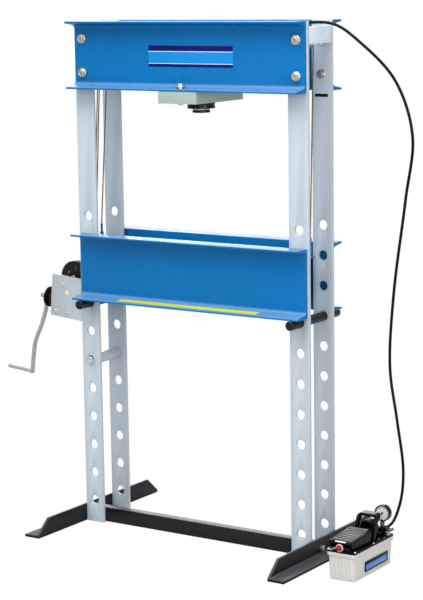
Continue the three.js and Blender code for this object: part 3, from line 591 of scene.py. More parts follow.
def fasteners():
    """Bolts whose heads show: head, washer, shank and nut, at the CAD bolts' places."""
    marks = Solid()
    for side in SIDES:
        for row, sign in ROWS.items():
            for level in ("lower", "upper"):
                node = f"head_bolt_{side}_{row}_{level}"
                low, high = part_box(node)
                middle = centre_of(node)
                outer, inner = (low.y, high.y) if sign < 0 else (high.y, low.y)
                length = abs(outer - inner)
                place = facing((middle.x, inner, middle.z), (0, sign, 0))
                bolt = Solid().disc(8 * MM, 0, length - 12 * MM, place)
                bolt.hexagon(24 * MM, 4 * MM, 13 * MM, place, dish=False)
                bolt.disc(15.5 * MM, 12.5 * MM, 15 * MM, place)
                bolt.disc(16.3 * MM, length - 13 * MM, length - 10 * MM, place)
                bolt.hexagon(24 * MM, length - 10 * MM, length, place)
                stand_in(bolt, node)
                marks.disc(5.5 * MM, length - 0.5 * MM, length - 0.2 * MM, place, edge=0.1 * MM, steps=24)
    shown(marks, "head_bolt_marks", "frame", "zinc", BOLT_MARK)
    for row in ROWS:
        node = f"carriage_bolt_{row}"
        low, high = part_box(node)
        place = Matrix.Translation((MIDDLE, centre_of(node).y, 0))
        bolt = Solid().disc(8 * MM, low.z, high.z - 12 * MM, place)
        bolt.disc(15 * MM, high.z - 12 * MM, high.z - 9 * MM, place)
        bolt.hexagon(22 * MM, high.z - 9 * MM, high.z, place)
        stand_in(bolt, node)
    for side, sign in SIDES.items():
        node = f"foot_bolt_{side}"
        low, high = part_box(node)
        middle = centre_of(node)
        outer, inner = (high.x, low.x) if sign > 0 else (low.x, high.x)
        length = abs(outer - inner)
        place = facing((inner, middle.y, middle.z), (sign, 0, 0))
        bolt = Solid().disc(6 * MM, 0, length - 7 * MM, place)
        bolt.hexagon(19 * MM, 4 * MM, 13 * MM, place, dish=False)
        bolt.hexagon(19 * MM, length - 8 * MM, length, place)
        stand_in(bolt, node)


def tie_bolt():
    node = "column_tie_bolt"
    low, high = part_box(node)
    middle = centre_of(node)
    place = facing((middle.x, 0, middle.z), (0, 1, 0))
    half = (high.y - low.y) / 2
    inner = half - 12 * MM - 10 * MM - 1.0 * MM
    bolt = Solid().disc(19.5 * MM, -inner, inner, place)
    bolt.disc(15.5 * MM, -half + 9 * MM, half - 9 * MM, place)
    for sign in (-1, 1):
        end = facing((middle.x, sign * half, middle.z), (0, sign, 0))
        bolt.disc(20 * MM, -12 * MM + 0.3 * MM, -9 * MM, end)
        bolt.hexagon(22.5 * MM, -9 * MM, 0, end)
    stand_in(bolt, node, MATERIALS["winch_zinc"])


# ---------------------------------------------------------------- base
def feet():
    for side, sign in SIDES.items():
        node = f"foot_{side}"
        low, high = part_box(node)
        thickness = 9.5 * MM
        cut_back = 61 * MM
        reach = high.x - low.x
        height = high.z
        corner = [(0, 0), (reach, 0), (reach, thickness), (thickness, thickness),
                  (thickness, height), (0, height)]
        radii = [1.5 * MM, 1.5 * MM, 4 * MM, 8 * MM, 4 * MM, 1.5 * MM]
        outline = softened(corner, radii, 5)
        origin = low.x if sign > 0 else high.x
        outline = [(origin + sign * out, up) for out, up in outline]
        angle = Solid().prism([outline], high.y - low.y, STAND_XZ, edge=0.8 * MM)
        for end in (-1, 1):
            edge_point = Vector((0, end * high.y, thickness))
            slant = Vector((0, end * (height - thickness), cut_back)).normalized()
            geometry = angle.bm.verts[:] + angle.bm.edges[:] + angle.bm.faces[:]
            cut = bmesh.ops.bisect_plane(angle.bm, geom=geometry, plane_co=edge_point,
                                         plane_no=slant, clear_outer=True)
            rim = [e for e in cut["geom_cut"] if isinstance(e, bmesh.types.BMEdge)]
            bmesh.ops.holes_fill(angle.bm, edges=rim, sides=0)
        stand_in(angle, node)


# ---------------------------------------------------------------- rope sheaves and ropes
ROPE_RADIUS = 2.4 * MM
ROPE_WRAP = 20 * MM
ROPE_Y = {"left": -5 * MM, "right": 5 * MM}
ROPE_TWIST = 55.0
DRUM_WRAP = 50 * MM


def rope_section(radius=ROPE_RADIUS, strands=6):
    """Cross-section of a wire rope: its strands stand out as lobes."""
    points = []
    for k in range(strands * 4):
        angle = 2 * math.pi * k / (strands * 4)
        points.append((radius * (0.92 + 0.08 * math.cos(strands * angle)) * math.cos(angle),
                       radius * (0.92 + 0.08 * math.cos(strands * angle)) * math.sin(angle)))
    return points


def stepped(stops, step=2.5 * MM):
    """Extra points along straight legs, close enough for the twist of a rope."""
    path = []
    for a, b in zip(stops, stops[1:]):
        count = max(1, round((b - a).length / step))
        path += [a.lerp(b, k / count) for k in range(count)]
    return path + [stops[-1]]


def sheaves():
    for side in SIDES:
        node = f"sheave_{side}"
        place = facing(centre_of(node), (0, 1, 0))
        half = 12 * MM
        rim = 25 * MM
        root = ROPE_WRAP - ROPE_RADIUS - 0.3 * MM
        outline = [(6.3 * MM, -half), (rim, -half)]
        for middle in ROPE_Y.values():
            outline.append((rim, middle - 4.6 * MM))
            outline += [(root + 2.6 * MM * (1 - math.sin(math.radians(a))), middle - 2.8 * MM * math.cos(math.radians(a)))
                        for a in range(0, 181, 30)]
            outline.append((rim, middle + 4.6 * MM))
        outline += [(rim, half), (6.3 * MM, half)]
        wheel = Solid().lathe(outline, place, closed=True)
        stand_in(wheel, node)
        # the brackets take the lighter copy of the frame paint, painted light
        keep_cad(f"sheave_bracket_{side}", 0.8 * MM, material=LIT_FRAME_PAINT)


def ropes():
    left, right = (Vector(JOINT[f"{side}_sheave_spin"]["pos_m"]) for side in SIDES)
    drum = Vector(JOINT["drum_spin"]["pos_m"])

    def over(centre, start, end, y):
        return [Vector((x, y, z)) for x, z in arc(centre.x, centre.z, ROPE_WRAP, start, end, 16)]

    down = Vector((drum.x + DRUM_WRAP, 0, drum.z))
    y = ROPE_Y["left"]
    path = over(left, 0, 180, y) + [down + Vector((0, y, 0))]
    stand_in(Solid().sweep(stepped(path), rope_section(), ROPE_TWIST), "rope_left_lead")
    y = ROPE_Y["right"]
    path = over(right, 0, 90, y) + over(left, 90, 180, y) + [down + Vector((0, y, 0))]
    stand_in(Solid().sweep(stepped(path), rope_section(), ROPE_TWIST), "rope_right_lead")
    for side, sheave in (("left", left), ("right", right)):
        node = f"rope_{side}_fall"
        low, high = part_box(node)
        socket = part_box(f"bed_cross_plate_{side}")
        top = Vector((sheave.x + ROPE_WRAP, ROPE_Y[side], high.z))
        foot_x = low.x + ROPE_RADIUS
        foot = Vector((foot_x, ROPE_Y[side], socket[1].z + 0.3 * MM))
        fall = stand_in(Solid().sweep(stepped([foot, top]), rope_section(), ROPE_TWIST), node)
        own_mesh(fall)


# ---------------------------------------------------------------- cylinder
def cylinder():
    low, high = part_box("cylinder_body")
    place = Matrix.Translation((MIDDLE, 0, 0))
    outer, bore, roof = 43 * MM, 29 * MM, 1672 * MM
    outline = [(0, roof), (bore, roof), (bore, low.z), (outer, low.z), (outer, high.z), (0, high.z)]
    stand_in(Solid().lathe(softened(outline, 2 * MM, 3, closed=False), place), "cylinder_body")

    low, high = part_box("cylinder_ring")
    inner, outer = 43.3 * MM, high.x - MIDDLE
    neck = outer - 1.5 * MM
    third = (high.z - low.z) / 3
    outline = [(inner, low.z), (outer, low.z), (outer, low.z + third), (neck, low.z + third * 1.15),
               (neck, high.z - third * 1.15), (outer, high.z - third), (outer, high.z), (inner, high.z)]
    stand_in(Solid().lathe(softened(outline, 0.8 * MM, 3), place, closed=True), "cylinder_ring")

    low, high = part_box("ram_plunger")
    stand_in(Solid().disc(28.5 * MM, low.z, high.z, place, edge=2 * MM, steps=64), "ram_plunger")
    low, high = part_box("ram_saddle")
    radius = 30 * MM
    outline = [(0, low.z), (radius - 1.5 * MM, low.z), (radius, low.z + 1.5 * MM),
               (radius, high.z - 2 * MM), (radius - 2 * MM, high.z), (0, high.z)]
    stand_in(Solid().lathe(softened(outline, 0.6 * MM, 3, closed=False), place), "ram_saddle")

    low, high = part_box("cylinder_fitting")
    middle = centre_of("cylinder_fitting")
    place = facing((low.x, middle.y, middle.z), (1, 0, 0))
    length = high.x - low.x
    fitting = Solid().hexagon(19 * MM, 0, 15 * MM, place, dish=False)
    fitting.disc(8 * MM, 15 * MM, length, place)
    stand_in(fitting, "cylinder_fitting")


def pins():
    for side in SIDES:
        node = f"bed_pin_{side}"
        low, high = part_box(node)
        middle = centre_of(node)
        radius = (high.z - low.z) / 2
        length = high.y - low.y
        place = facing((middle.x, low.y, middle.z), (0, 1, 0))
        dimple = 4 * MM
        outline = [(0, dimple * 0.6), (dimple, 0), (radius - 2.5 * MM, 0), (radius, 2.5 * MM),
                   (radius, length - 2.5 * MM), (radius - 2.5 * MM, length), (0, length)]
        stand_in(Solid().lathe(softened(outline, 0.6 * MM, 3, closed=False), place), node)


# ---------------------------------------------------------------- winch
# Local millimetres: x outward is negative, y is depth behind the plate's front, z is up.
CRANK_AXIS = Vector(JOINT["crank_spin"]["axis"])
WINCH_TILT = math.atan2(CRANK_AXIS.z, -CRANK_AXIS.x)
WHEEL_X, WHEEL_Z = -65, 142
SHAFT_Y, SHAFT_Z = 36, 56


def winch_place():
    """Matrix from winch millimetres to the frame, from the drum's axle and the bar's front face."""
    turn = Matrix.Rotation(WINCH_TILT, 4, "Y")
    axle = Vector(JOINT["drum_spin"]["pos_m"])
    corner = axle - turn @ (Vector((WHEEL_X, 0, WHEEL_Z)) * MM)
    corner.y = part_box("column_bar_left_front")[0].y
    return Matrix.Translation(corner) @ turn @ Matrix.Diagonal((MM, MM, MM, 1))


WINCH = winch_place()


def in_winch(x, y, z, direction=(0, -1, 0)):
    """Place in the winch with local +Z along direction, still in winch millimetres."""
    return WINCH @ facing((x, y, z), direction)


def winch():
    # Plate, with the edge that meets the column kept upright.
    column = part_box("column_bar_left_front")[0].x - 0.3 * MM
    inner_edge = [(WINCH.inverted() @ Vector((column, CAD_BOUNDS[0].y, z))).x for z in (0.72, 0.87)]
    slope = (inner_edge[1] - inner_edge[0]) / ((0.87 - 0.72) / MM)
    bottom = inner_edge[0] + slope * (0 + (0.7206 - 0.72) / MM)
    outline = [(-140, 0), (bottom, 0), (bottom + slope * 150, 150), (-140, 150)]
    outline = softened(outline, [6, 1, 1, 6], 5)
    plate = Solid().prism([outline], 6, WINCH @ Matrix.Translation((0, 3, 0)) @ STAND_XZ, edge=0.6)
    stand_in(plate, "winch_plate")
    screws = Solid()
    for outward, up in ((90, 116), (120, 17), (64.4, 17.2)):
        place = in_winch(-outward, 0, up)
        screws.disc(7, 0.1, 1.4, place, edge=0.4)
        screws.hexagon(10, 1.4, 5.4, place)
    shown(screws, "winch_plate_screws", "frame", "zinc")
    mark = Solid().disc(9, 0.05, 0.4, in_winch(-71, 0, 90), edge=0.1)
    shown(mark, "winch_plate_sticker", "frame", "winch_zinc", STICKER)

    keep_cad("winch_frame", 0.8 * MM)

    # Worm wheel: fine teeth round the rim, a hub and lightening holes.
    wheel = Solid()
    teeth, outer, root = 60, 59, 56.5
    rim = []
    for k in range(teeth):
        for share, radius in ((0.0, root), (0.3, root), (0.45, outer), (0.8, outer)):
            angle = 2 * math.pi * (k + share) / teeth
            rim.append((radius * math.cos(angle), radius * math.sin(angle)))
    holes = [circle(34 * math.cos(a), 34 * math.sin(a), 6.5, 32)
             for a in ((k + 0.5) / 6 * 2 * math.pi for k in range(6))]
    place = WINCH @ Matrix.Translation((WHEEL_X, 36, WHEEL_Z)) @ STAND_XZ
    wheel.prism([rim, circle(0, 0, 9.3, 48), *holes], 12, place, edge=0.35)
    hub = in_winch(WHEEL_X, 26, WHEEL_Z, (0, 1, 0))
    wheel.lathe(softened([(9.3, 0), (18, 0), (18, 3.95), (9.3, 3.95)], 0.8, 3), hub, closed=True)
    stand_in(wheel, "winch_wheel")

    # Drum with its axle and a few turns of rope.
    axle = in_winch(WHEEL_X, 0, WHEEL_Z, (0, 1, 0))
    core = 50 - 2.4 - 0.4
    outline = [(0, 22), (9, 22), (9, 68), (58, 68), (58, 72), (core, 72), (core, 104), (58, 104),
               (58, 108), (9, 108), (9, 120), (0, 120)]
    stand_in(Solid().lathe(softened(outline, 0.7, 3, closed=False), axle), "winch_drum")
    turns, pitch = 6, 4.9
    coil = []
    for k in range(turns * 48 + 1):
        angle = 2 * math.pi * k / 48
        coil.append(axle @ Vector((50 * math.cos(angle), 50 * math.sin(angle), 74.6 + pitch * k / 48)))
    shown(Solid().sweep(coil, rope_section(), ROPE_TWIST), "winch_rope_coil", "drum", "rope_steel")

    # Shaft with a screw thread where it drives the wheel.
    outward = in_winch(0, SHAFT_Y, SHAFT_Z, (-1, 0, 0))
    outline = [(0, 14), (7, 14), (7, 36), (21, 40), (21, 90), (7, 94), (7, 193), (9.5, 193), (9.5, 209),
               (8, 211), (0, 211)]
    shaft = Solid().lathe(softened(outline, 0.6, 3, closed=False), outward)
    thread = []
    for k in range(5 * 32 + 1):
        angle = 2 * math.pi * k / 32
        thread.append(outward @ Vector((21 * math.cos(angle), 21 * math.sin(angle), 45 + 8 * k / 32)))
    tooth = [(3 * MM, -0.9 * MM), (3 * MM, 0.9 * MM), (-0.5 * MM, 2 * MM), (-0.5 * MM, -2 * MM)]
    shaft.rings(thread_rings(thread, outward, tooth))
    stand_in(shaft, "winch_shaft")
    nut = Solid().hexagon(17, 197, 206, outward, dish=False)
    shown(nut, "crank_nut", "crank", "steel")

    outline = [(7.3, 166), (37, 166), (37, 175), (12, 175), (12, 183.5), (7.3, 183.5)]
    disc = Solid().lathe(softened(outline, 1.5, 4), outward, closed=True)
    stand_in(disc, "crank_disc")


def thread_rings(path, outward, tooth):
    """Rings of a thread's tooth along a helix: u points away from the shaft's axis, v along it."""
    axis = (outward.to_3x3() @ Vector((0, 0, 1))).normalized()
    origin = outward.translation
    rings = []
    for p in path:
        away = (p - origin) - axis * (p - origin).dot(axis)
        away.normalize()
        rings.append([p + away * u + axis * v for u, v in tooth])
    return rings


def crank():
    path = [(-188, 70), (-187.5, 40), (-188, 12), (-197, -25), (-209, -64), (-222, -96), (-231, -123),
            (-236, -173), (-239, -240)]
    smooth = [(p.x, p.y) for p in spline([(x, z, 0) for x, z in path], 6)]
    outline = ribbon(smooth, 8)
    hole_free = WINCH @ Matrix.Translation((0, SHAFT_Y, 0)) @ STAND_XZ
    arm = Solid().prism([outline], 20, hole_free, edge=3.2)
    outward = in_winch(0, SHAFT_Y, -232, (-1, 0, 0))
    arm.disc(5, 238, 344, outward, edge=0.5)
    arm.disc(7.5, 342.5, 346, outward, edge=1.2)
    stand_in(arm, "crank_arm")
    outline = [(5.3, 245.5), (7.0, 245.5), (7.5, 248), (7.5, 338), (7.0, 341), (5.3, 341)]
    grip = Solid().lathe(softened(outline, 0.8, 3), outward, closed=True, steps=40)
    stand_in(grip, "crank_grip")


# ---------------------------------------------------------------- hose
HOSE_RADIUS = 4.75 * MM
HOSE_STOPS = [
    (76.6, 0, 1668), (90, 0, 1668), (130, -7, 1672), (240, -25, 1712), (345, -25, 1746), (440, -25, 1758.5),
    (530, -23, 1752), (616, -16, 1697), (735, -4, 1578), (787, 14, 1408), (753, 33, 1199), (697, 58, 885),
    (675, 75, 640), (696, 84, 467), (714, 94, 300), (704, 97, 195), (683, 84, 122), (676, 56, 109),
    (673, 44, 109), (673, 34.6, 109),
]


def hose():
    path = spline([point(*stop) for stop in HOSE_STOPS], 12)
    stand_in(Solid().sweep(path, circle(0, 0, HOSE_RADIUS, 24)), "hose")
    crimp = Solid()
    start, toward = path[0], (path[6] - path[0])
    place = facing(start, toward.normalized())
    outline = [(4.9, 0.2), (7.4, 0.2), (7.4, 5), (6.6, 6), (7.4, 7), (7.4, 12), (6.2, 14), (4.9, 14)]
    scaled = [(r * MM, a * MM) for r, a in outline]
    crimp.lathe(softened(scaled, 0.4 * MM, 2), place, closed=True, steps=40)
    shown(crimp, "hose_crimp_upper", "frame", "zinc")
    crimp = Solid()
    end, toward = path[-1], (path[-7] - path[-1])
    place = facing(end, toward.normalized())
    crimp.lathe(softened(scaled, 0.4 * MM, 2), place, closed=True, steps=40)
    shown(crimp, "hose_crimp_lower", "frame", "black_oxide")


# ---------------------------------------------------------------- foot pump
def rounded_loop(x, y, radius, steps=8):
    return softened(rectangle(x, y), radius, steps)


def pump_tank():
    low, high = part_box("pump_tank")
    rim_height = 12 * MM
    radius = 12 * MM
    rings = []

    def ring(inset, z, corner=radius):
        loop = rounded_loop((low.x + inset, high.x - inset), (low.y + inset, high.y - inset), corner)
        rings.append([(x, y, z) for x, y in loop])

    foot = 7 * MM
    ring(foot + 2 * MM, 0)
    ring(foot, 1.5 * MM)
    ring(foot - 3 * MM, high.z - rim_height - 2 * MM)
    ring(1 * MM, high.z - rim_height)
    ring(0, high.z - rim_height + 1.5 * MM)
    ring(0, high.z - 1.5 * MM)
    ring(1.2 * MM, high.z)
    ring(8 * MM, high.z)
    ring(10 * MM, high.z - 3 * MM)
    ring(12 * MM, 6 * MM)
    tank = Solid().rings(rings)
    lean = math.atan2(3, 76)
    for k in range(6):
        rib_x = low.x + (high.x - low.x) * (k + 1.5) / 8
        place = Matrix.Translation((rib_x, low.y + foot, 1.5 * MM)) @ Matrix.Rotation(lean, 4, "X")
        tank.brick((-3.2 * MM, -1.1 * MM, 5 * MM), (3.2 * MM, 1 * MM, 72 * MM), 1 * MM, place)
    piece = stand_in(tank, "pump_tank")

    # Sight window: a dark frame proud of the wall with a blue pane in it.
    window_low, window_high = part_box("pump_window")
    middle_y = (window_low.y + window_high.y) / 2
    half_y = (window_high.y - window_low.y) / 2
    wall = high.x - 4 * MM
    outer = rounded_loop((middle_y - half_y, middle_y + half_y), (window_low.z, window_high.z), 3 * MM)
    rail = 4.0 * MM
    inner = rounded_loop((middle_y - half_y + rail, middle_y + half_y - rail),
                         (window_low.z + rail, window_high.z - rail), 2 * MM)
    bezel = Solid().prism([outer, inner], 3 * MM, Matrix.Translation((wall + 0.2 * MM, 0, 0)) @ STAND_YZ, 0.5 * MM)
    shown(bezel, "pump_window_frame", "frame", "black_plastic")
    pane = Solid().prism([inner], 2 * MM, Matrix.Translation((wall, 0, 0)) @ STAND_YZ, 0.3 * MM)
    stand_in(pane, "pump_window")

    # Painted shade: a dark glossy sheet over the upper part of the pane, where the tank above the oil is empty and
    # unlit.
    lowest, highest = min(p[1] for p in inner), max(p[1] for p in inner)
    low_y, high_y = min(p[0] for p in inner), max(p[0] for p in inner)
    level = highest - (highest - lowest) * 0.3
    air = Solid().brick((wall, low_y, level), (wall + 1.3 * MM, high_y, highest), 0.2 * MM)
    shown(air, "pump_window_shade", "frame", "black_plastic", BLACK_GLOSS)
    return piece


# Millimetres about the middle line, as in PRESS.
TREADLE_X = (620, 703)
TREADLE_FRONT, TREADLE_REAR = (-233.5, 130.5), (-102, 142)
PUMP_MIDDLE_X = 663.5


def pump_body():
    body = Solid()
    deck = rounded_loop((611, 716), (-235, 28), 10)
    body.prism([deck], 7.7, PRESS @ Matrix.Translation((0, 0, 96.15)), edge=1.6)
    base = softened([(-234, 99), (-104, 99), (-104, 118), (-150, 118), (-234, 112)], 3)
    body.prism([base], 69, PRESS @ Matrix.Translation((662.5, 0, 0)) @ STAND_YZ, edge=2)
    body.brick((645, -105, 99), (689, -63, 118), 2, PRESS)
    body.brick((636.5, -64, 99), (690.5, -28, 132), 4, PRESS)
    body.brick((655, -29, 99), (688, -1, 111), 2, PRESS)
    body.brick((664, -2, 99), (688, 22, 122), 3, PRESS)
    motor = [(0, 3), (15, 3), (17, 0), (24, 0), (27, 3), (27, 12), (25.8, 13), (25.8, 16), (27, 17), (27, 33),
             (24, 36), (0, 36)]
    axle = PRESS @ facing((PUMP_MIDDLE_X, -64, 132), (0, 1, 0))
    body.lathe(softened(motor, 1, 3, closed=False), axle)
    body.hexagon(13.8, 21, 34, PRESS @ facing((673, 0, 109), (0, 1, 0)), dish=False)
    body.disc(3.5, -42.5, 42.5, PRESS @ facing((661.5, -150, 115), (1, 0, 0)), edge=0.4)
    stand_in(body, "pump_body")

    screws = Solid()
    outline = [(0, -0.6), (4.2, -0.6), (3.8, 1.2), (2.2, 2.3), (0, 2.6)]
    for x, y in [(616, -227), (616, -106), (617, 22), (712, -227), (712, -106), (710, 22)]:
        screws.lathe(outline, PRESS @ Matrix.Translation((x, y, 100)), steps=24)
    shown(screws, "pump_deck_screws", "frame", "zinc", smooth=50)

    clip = Solid()
    path = spline([(617, -237, 101.5), (625, -237.5, 101), (634, -237.5, 102), (641, -237, 107), (648, -236.7, 109)], 6)
    clip.sweep([PRESS @ p for p in path], circle(0, 0, 1.7 * MM, 12))
    shown(clip, "air_inlet_clip", "frame", "zinc")


def pump_treadle():
    (front, front_top), (rear, rear_top) = TREADLE_FRONT, TREADLE_REAR
    slope = math.atan2(rear_top - front_top, rear - front)
    middle = (TREADLE_X[0] + TREADLE_X[1]) / 2
    width = TREADLE_X[1] - TREADLE_X[0]
    plate = [(front, front_top - 9), (rear, rear_top - 9), (rear, rear_top), (front, front_top)]
    treadle = Solid()
    across = PRESS @ Matrix.Translation((middle, 0, 0)) @ STAND_YZ
    treadle.prism([softened(plate, [2, 2, 6, 6], 5)], width, across, edge=2.2)
    skirt = [(front + 2, front_top - 8), (front + 6, 109), (-180, 105), (rear - 6, 105), (rear - 2, rear_top - 8)]
    for x in (TREADLE_X[0] + 2.5, TREADLE_X[1] - 2.5):
        treadle.prism([softened(skirt, 3)], 5, PRESS @ Matrix.Translation((x, 0, 0)) @ STAND_YZ, edge=1)
    stand_in(treadle, "pump_treadle")

    # A ribbed mat with a raised border lies on the sloping top.
    top = Matrix.Translation((middle, (front + rear) / 2, (front_top + rear_top) / 2))
    slab = PRESS @ top @ Matrix.Rotation(slope, 4, "X")
    half_x, low_y, high_y = 33, -55, 60
    mat = Solid().brick((-half_x, low_y, -0.5), (half_x, high_y, 0.9), 0.5, slab)
    shown(mat, "treadle_mat", "treadle", "black_plastic")
    ribs = Solid()
    count = 8
    pitch = (high_y - low_y - 6) / count
    for k in range(count):
        y = low_y + 3 + pitch * (k + 0.5)
        ribs.brick((-half_x + 5, y - pitch * 0.16, 0.5), (half_x - 5, y + pitch * 0.16, 2.6), 0.8, slab)
    border = [rounded_loop((-half_x, half_x), (low_y, high_y), 3),
              rounded_loop((-half_x + 2, half_x - 2), (low_y + 2, high_y - 2), 2)]
    ribs.prism(border, 2.4, slab @ Matrix.Translation((0, 0, 1.2)), edge=0.3)
    shown(ribs, "treadle_ribs", "treadle", "black_plastic", TREAD_GREY)
    # Painted highlight: a pale strip along the treadle's front top edge.
    strip = Solid().brick((-19, front - (front + rear) / 2 - 0.3, -4.6), (20, front - (front + rear) / 2 + 4, 0.6),
                          1.2, slab)
    shown(strip, "treadle_edge_highlight", "treadle", "black_plastic", EDGE_HIGHLIGHT_PLASTIC)


def at_height(table, height):
    """Value at a height, read from a rising table of (height, value) pairs."""
    for (low, a), (high, b) in zip(table, table[1:]):
        if height <= high:
            return a + (b - a) * max(0, height - low) / (high - low)
    return table[-1][1]


def pump_handle():
    """Arch that leans back: its width across the arch is even, its depth follows the height."""
    arch = [(636, 100.3), (636, 158), (636, 171), (642, 178.5), (695, 178.5), (701, 171), (701, 158), (701, 100.3)]
    path = [Vector(p) for p in softened(arch, 5, 4, closed=False)]
    front = [(90, -99), (158, -80), (192, -62)]
    rear = [(90, -87), (157, -62), (178, -34), (192, -30)]
    rings = []
    for i, p in enumerate(path):
        along = (path[min(i + 1, len(path) - 1)] - path[max(i - 1, 0)]).normalized()
        outward = Vector((-along.y, along.x))
        section = softened(rectangle((-5, 5), (at_height(front, p.y), at_height(rear, p.y))), 2.6, 4)
        rings.append([(p.x + outward.x * a, y, p.y + outward.y * a) for a, y in section])
    stand_in(Solid().rings(rings, place=PRESS), "pump_handle")


def air_inlet():
    seat = PRESS @ facing((662, -235.3, 110.5), (0, -1, 0))
    core = [(0, 0), (9.4, 0), (9.4, 8.6), (6, 9.6), (5, 10.5), (5, 18.7), (3.2, 18.7), (3.2, 8), (0, 8)]
    stand_in(Solid().lathe(softened(core, 0.7, 3, closed=False), seat), "pump_air_inlet")
    seal = [(9.8, 0), (12.8, 0), (12.8, 5), (9.8, 6)]
    shown(Solid().lathe(softened(seal, 1, 3), seat, closed=True), "air_inlet_seal", "frame", "red_plastic",
          SEAL_PINK)


GAUGE_CENTRE = (682, 5, 167.5)


def gauge():
    place = PRESS @ facing(GAUGE_CENTRE, (0, 1, 0))
    case = [(0, 4.2), (23, 4.2), (23, 3), (27.4, 3), (27.4, 19), (24.5, 22), (0, 22)]
    stand_in(Solid().lathe(softened(case, 0.8, 3, closed=False), place, steps=96), "pump_gauge", BLACK_GLOSS)
    bezel = [(24.4, 3.4), (24.8, 0.6), (26, 0), (27.5, 1), (27.5, 3.8), (26.9, 3.8), (26.9, 3.4)]
    shown(Solid().lathe(softened(bezel, 0.5, 3), place, closed=True, steps=96), "gauge_bezel", "frame",
          "gauge_metal", BLACK_GLOSS)
    shown(Solid().disc(24.4, 3.3, 4.0, place, edge=0.1, steps=72), "gauge_dial", "frame", "gauge_metal",
          DIAL_FACE)
    marks = Solid()
    face = PRESS @ Matrix.Translation((GAUGE_CENTRE[0], GAUGE_CENTRE[1] + 3.1, GAUGE_CENTRE[2]))
    for k in range(41):
        turn = Matrix.Rotation(math.radians(135 - k * 270 / 40), 4, "Y")
        inner = 17 if k % 5 == 0 else 19
        width = 0.5 if k % 5 == 0 else 0.25
        marks.brick((-width, -0.1, inner), (width, 0.2, 21.5), 0.05, face @ turn)
    shown(marks, "gauge_marks", "frame", "black_plastic")

    low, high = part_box("gauge_needle")
    hand = [(21, 0), (0, 1.5), (-6, 1.1), (-6, -1.1), (0, -1.5)]
    pointing = Matrix.Rotation(math.radians(-225), 4, "Y")
    origin = Matrix.Translation((GAUGE_CENTRE[0], GAUGE_CENTRE[1] + 1.6, GAUGE_CENTRE[2]))
    needle = Solid().prism([hand], 0.8, PRESS @ origin @ pointing @ STAND_XZ, edge=0.15)
    needle.disc(3, 0, 2.4, PRESS @ facing((GAUGE_CENTRE[0], GAUGE_CENTRE[1] + 2.4, GAUGE_CENTRE[2]), (0, -1, 0)),
                edge=0.3, steps=24)
    stand_in(needle, "gauge_needle")

    stem_place = PRESS @ Matrix.Translation((680, 13, 0))
    stem = [(0, 122.4), (6.5, 122.4), (6.5, 128), (5, 129), (5, 150), (0, 150)]
    brass = Solid().lathe(softened(stem, 0.5, 3, closed=False), stem_place, steps=32)
    brass.hexagon(14, 129, 138, stem_place, dish=False)
    shown(brass, "gauge_stem", "frame", "gauge_metal", FITTING_BRASS)


# ---------------------------------------------------------------- labels and strips
def labels():
    # Plain bands stand for the printed sign on the head.
    web_face = -88.5 - 0.25
    sign_x = (-149, 186)
    middle = (sign_x[0] + sign_x[1]) / 2
    bands = [
        ("head_sign_field", LABEL_BLUE, (1614, 1684), sign_x, 0.0),
        ("head_sign_upper", LABEL_NAVY, (1666, 1684), sign_x, 0.3),
        ("head_sign_lower", LABEL_NAVY, (1614, 1624), sign_x, 0.3),
        ("head_sign_upper_line", LABEL_WHITE, (1663.5, 1666), sign_x, 0.3),
        ("head_sign_lower_line", LABEL_WHITE, (1624, 1626), sign_x, 0.3),
    ]
    for name, material, z, x, proud in bands:
        height = (z[0] + z[1]) / 2
        loop = softened(rectangle(x, (z[0] - height, z[1] - height)), 1.5, 3)
        place = PRESS @ Matrix.Translation((0, web_face - proud, height)) @ STAND_XZ
        shown(Solid().prism([loop], 0.4, place, edge=0.08), name, "frame", "beam_paint", material)

    # Strip along the sloping top of the front bed channel's lower flange.
    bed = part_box("bed_channel_front")[0].z / MM
    slope = math.atan2(15 - 7, 63 - 7.2)
    toe = Matrix.Translation((10, -144.3, bed + 7)) @ Matrix.Rotation(slope, 4, "X")
    strip = Solid().brick((-280, 10, 0.1), (280, 38, 0.5), 0.15, PRESS @ toe)
    shown(strip, "bed_strip", "bed", "beam_paint", STRIP_YELLOW)

    plate = Solid().brick((400, 70.4, 1516), (449, 70.9, 1526), 0.2, PRESS)
    shown(plate, "column_plate", "frame", "frame_paint", BLACK_GLOSS)


def build_all():
    column_bars()
    beams()
    fasteners()
    tie_bolt()
    feet()
    sheaves()
    ropes()
    cylinder()
    pins()
    winch()
    crank()
    hose()
    pump_tank()
    pump_body()
    pump_treadle()
    pump_handle()
    air_inlet()
    gauge()
    labels()


# ---------------------------------------------------------------- studio
def area_light(name, location, target, size, energy, colour=(1, 1, 1)):
    data = bpy.data.lights.new(name, "AREA")
    data.shape = "SQUARE"
    data.size = size
    data.energy = energy
    data.color = colour
    light = bpy.data.objects.new(name, data)
    light.location = location
    light.visible_camera = False
    light.rotation_euler = (Vector(target) - Vector(location)).to_track_quat("-Z", "Y").to_euler()
    bpy.context.scene.collection.objects.link(light)


def seen_and_lit(tree, seen, lit, output):
    """Wires one shader for the camera's own rays and another for every other ray."""
    path = tree.nodes.new("ShaderNodeLightPath")
    mix = tree.nodes.new("ShaderNodeMixShader")
    tree.links.new(path.outputs["Is Camera Ray"], mix.inputs[0])
    tree.links.new(lit, mix.inputs[1])
    tree.links.new(seen, mix.inputs[2])
    tree.links.new(mix.outputs[0], output)


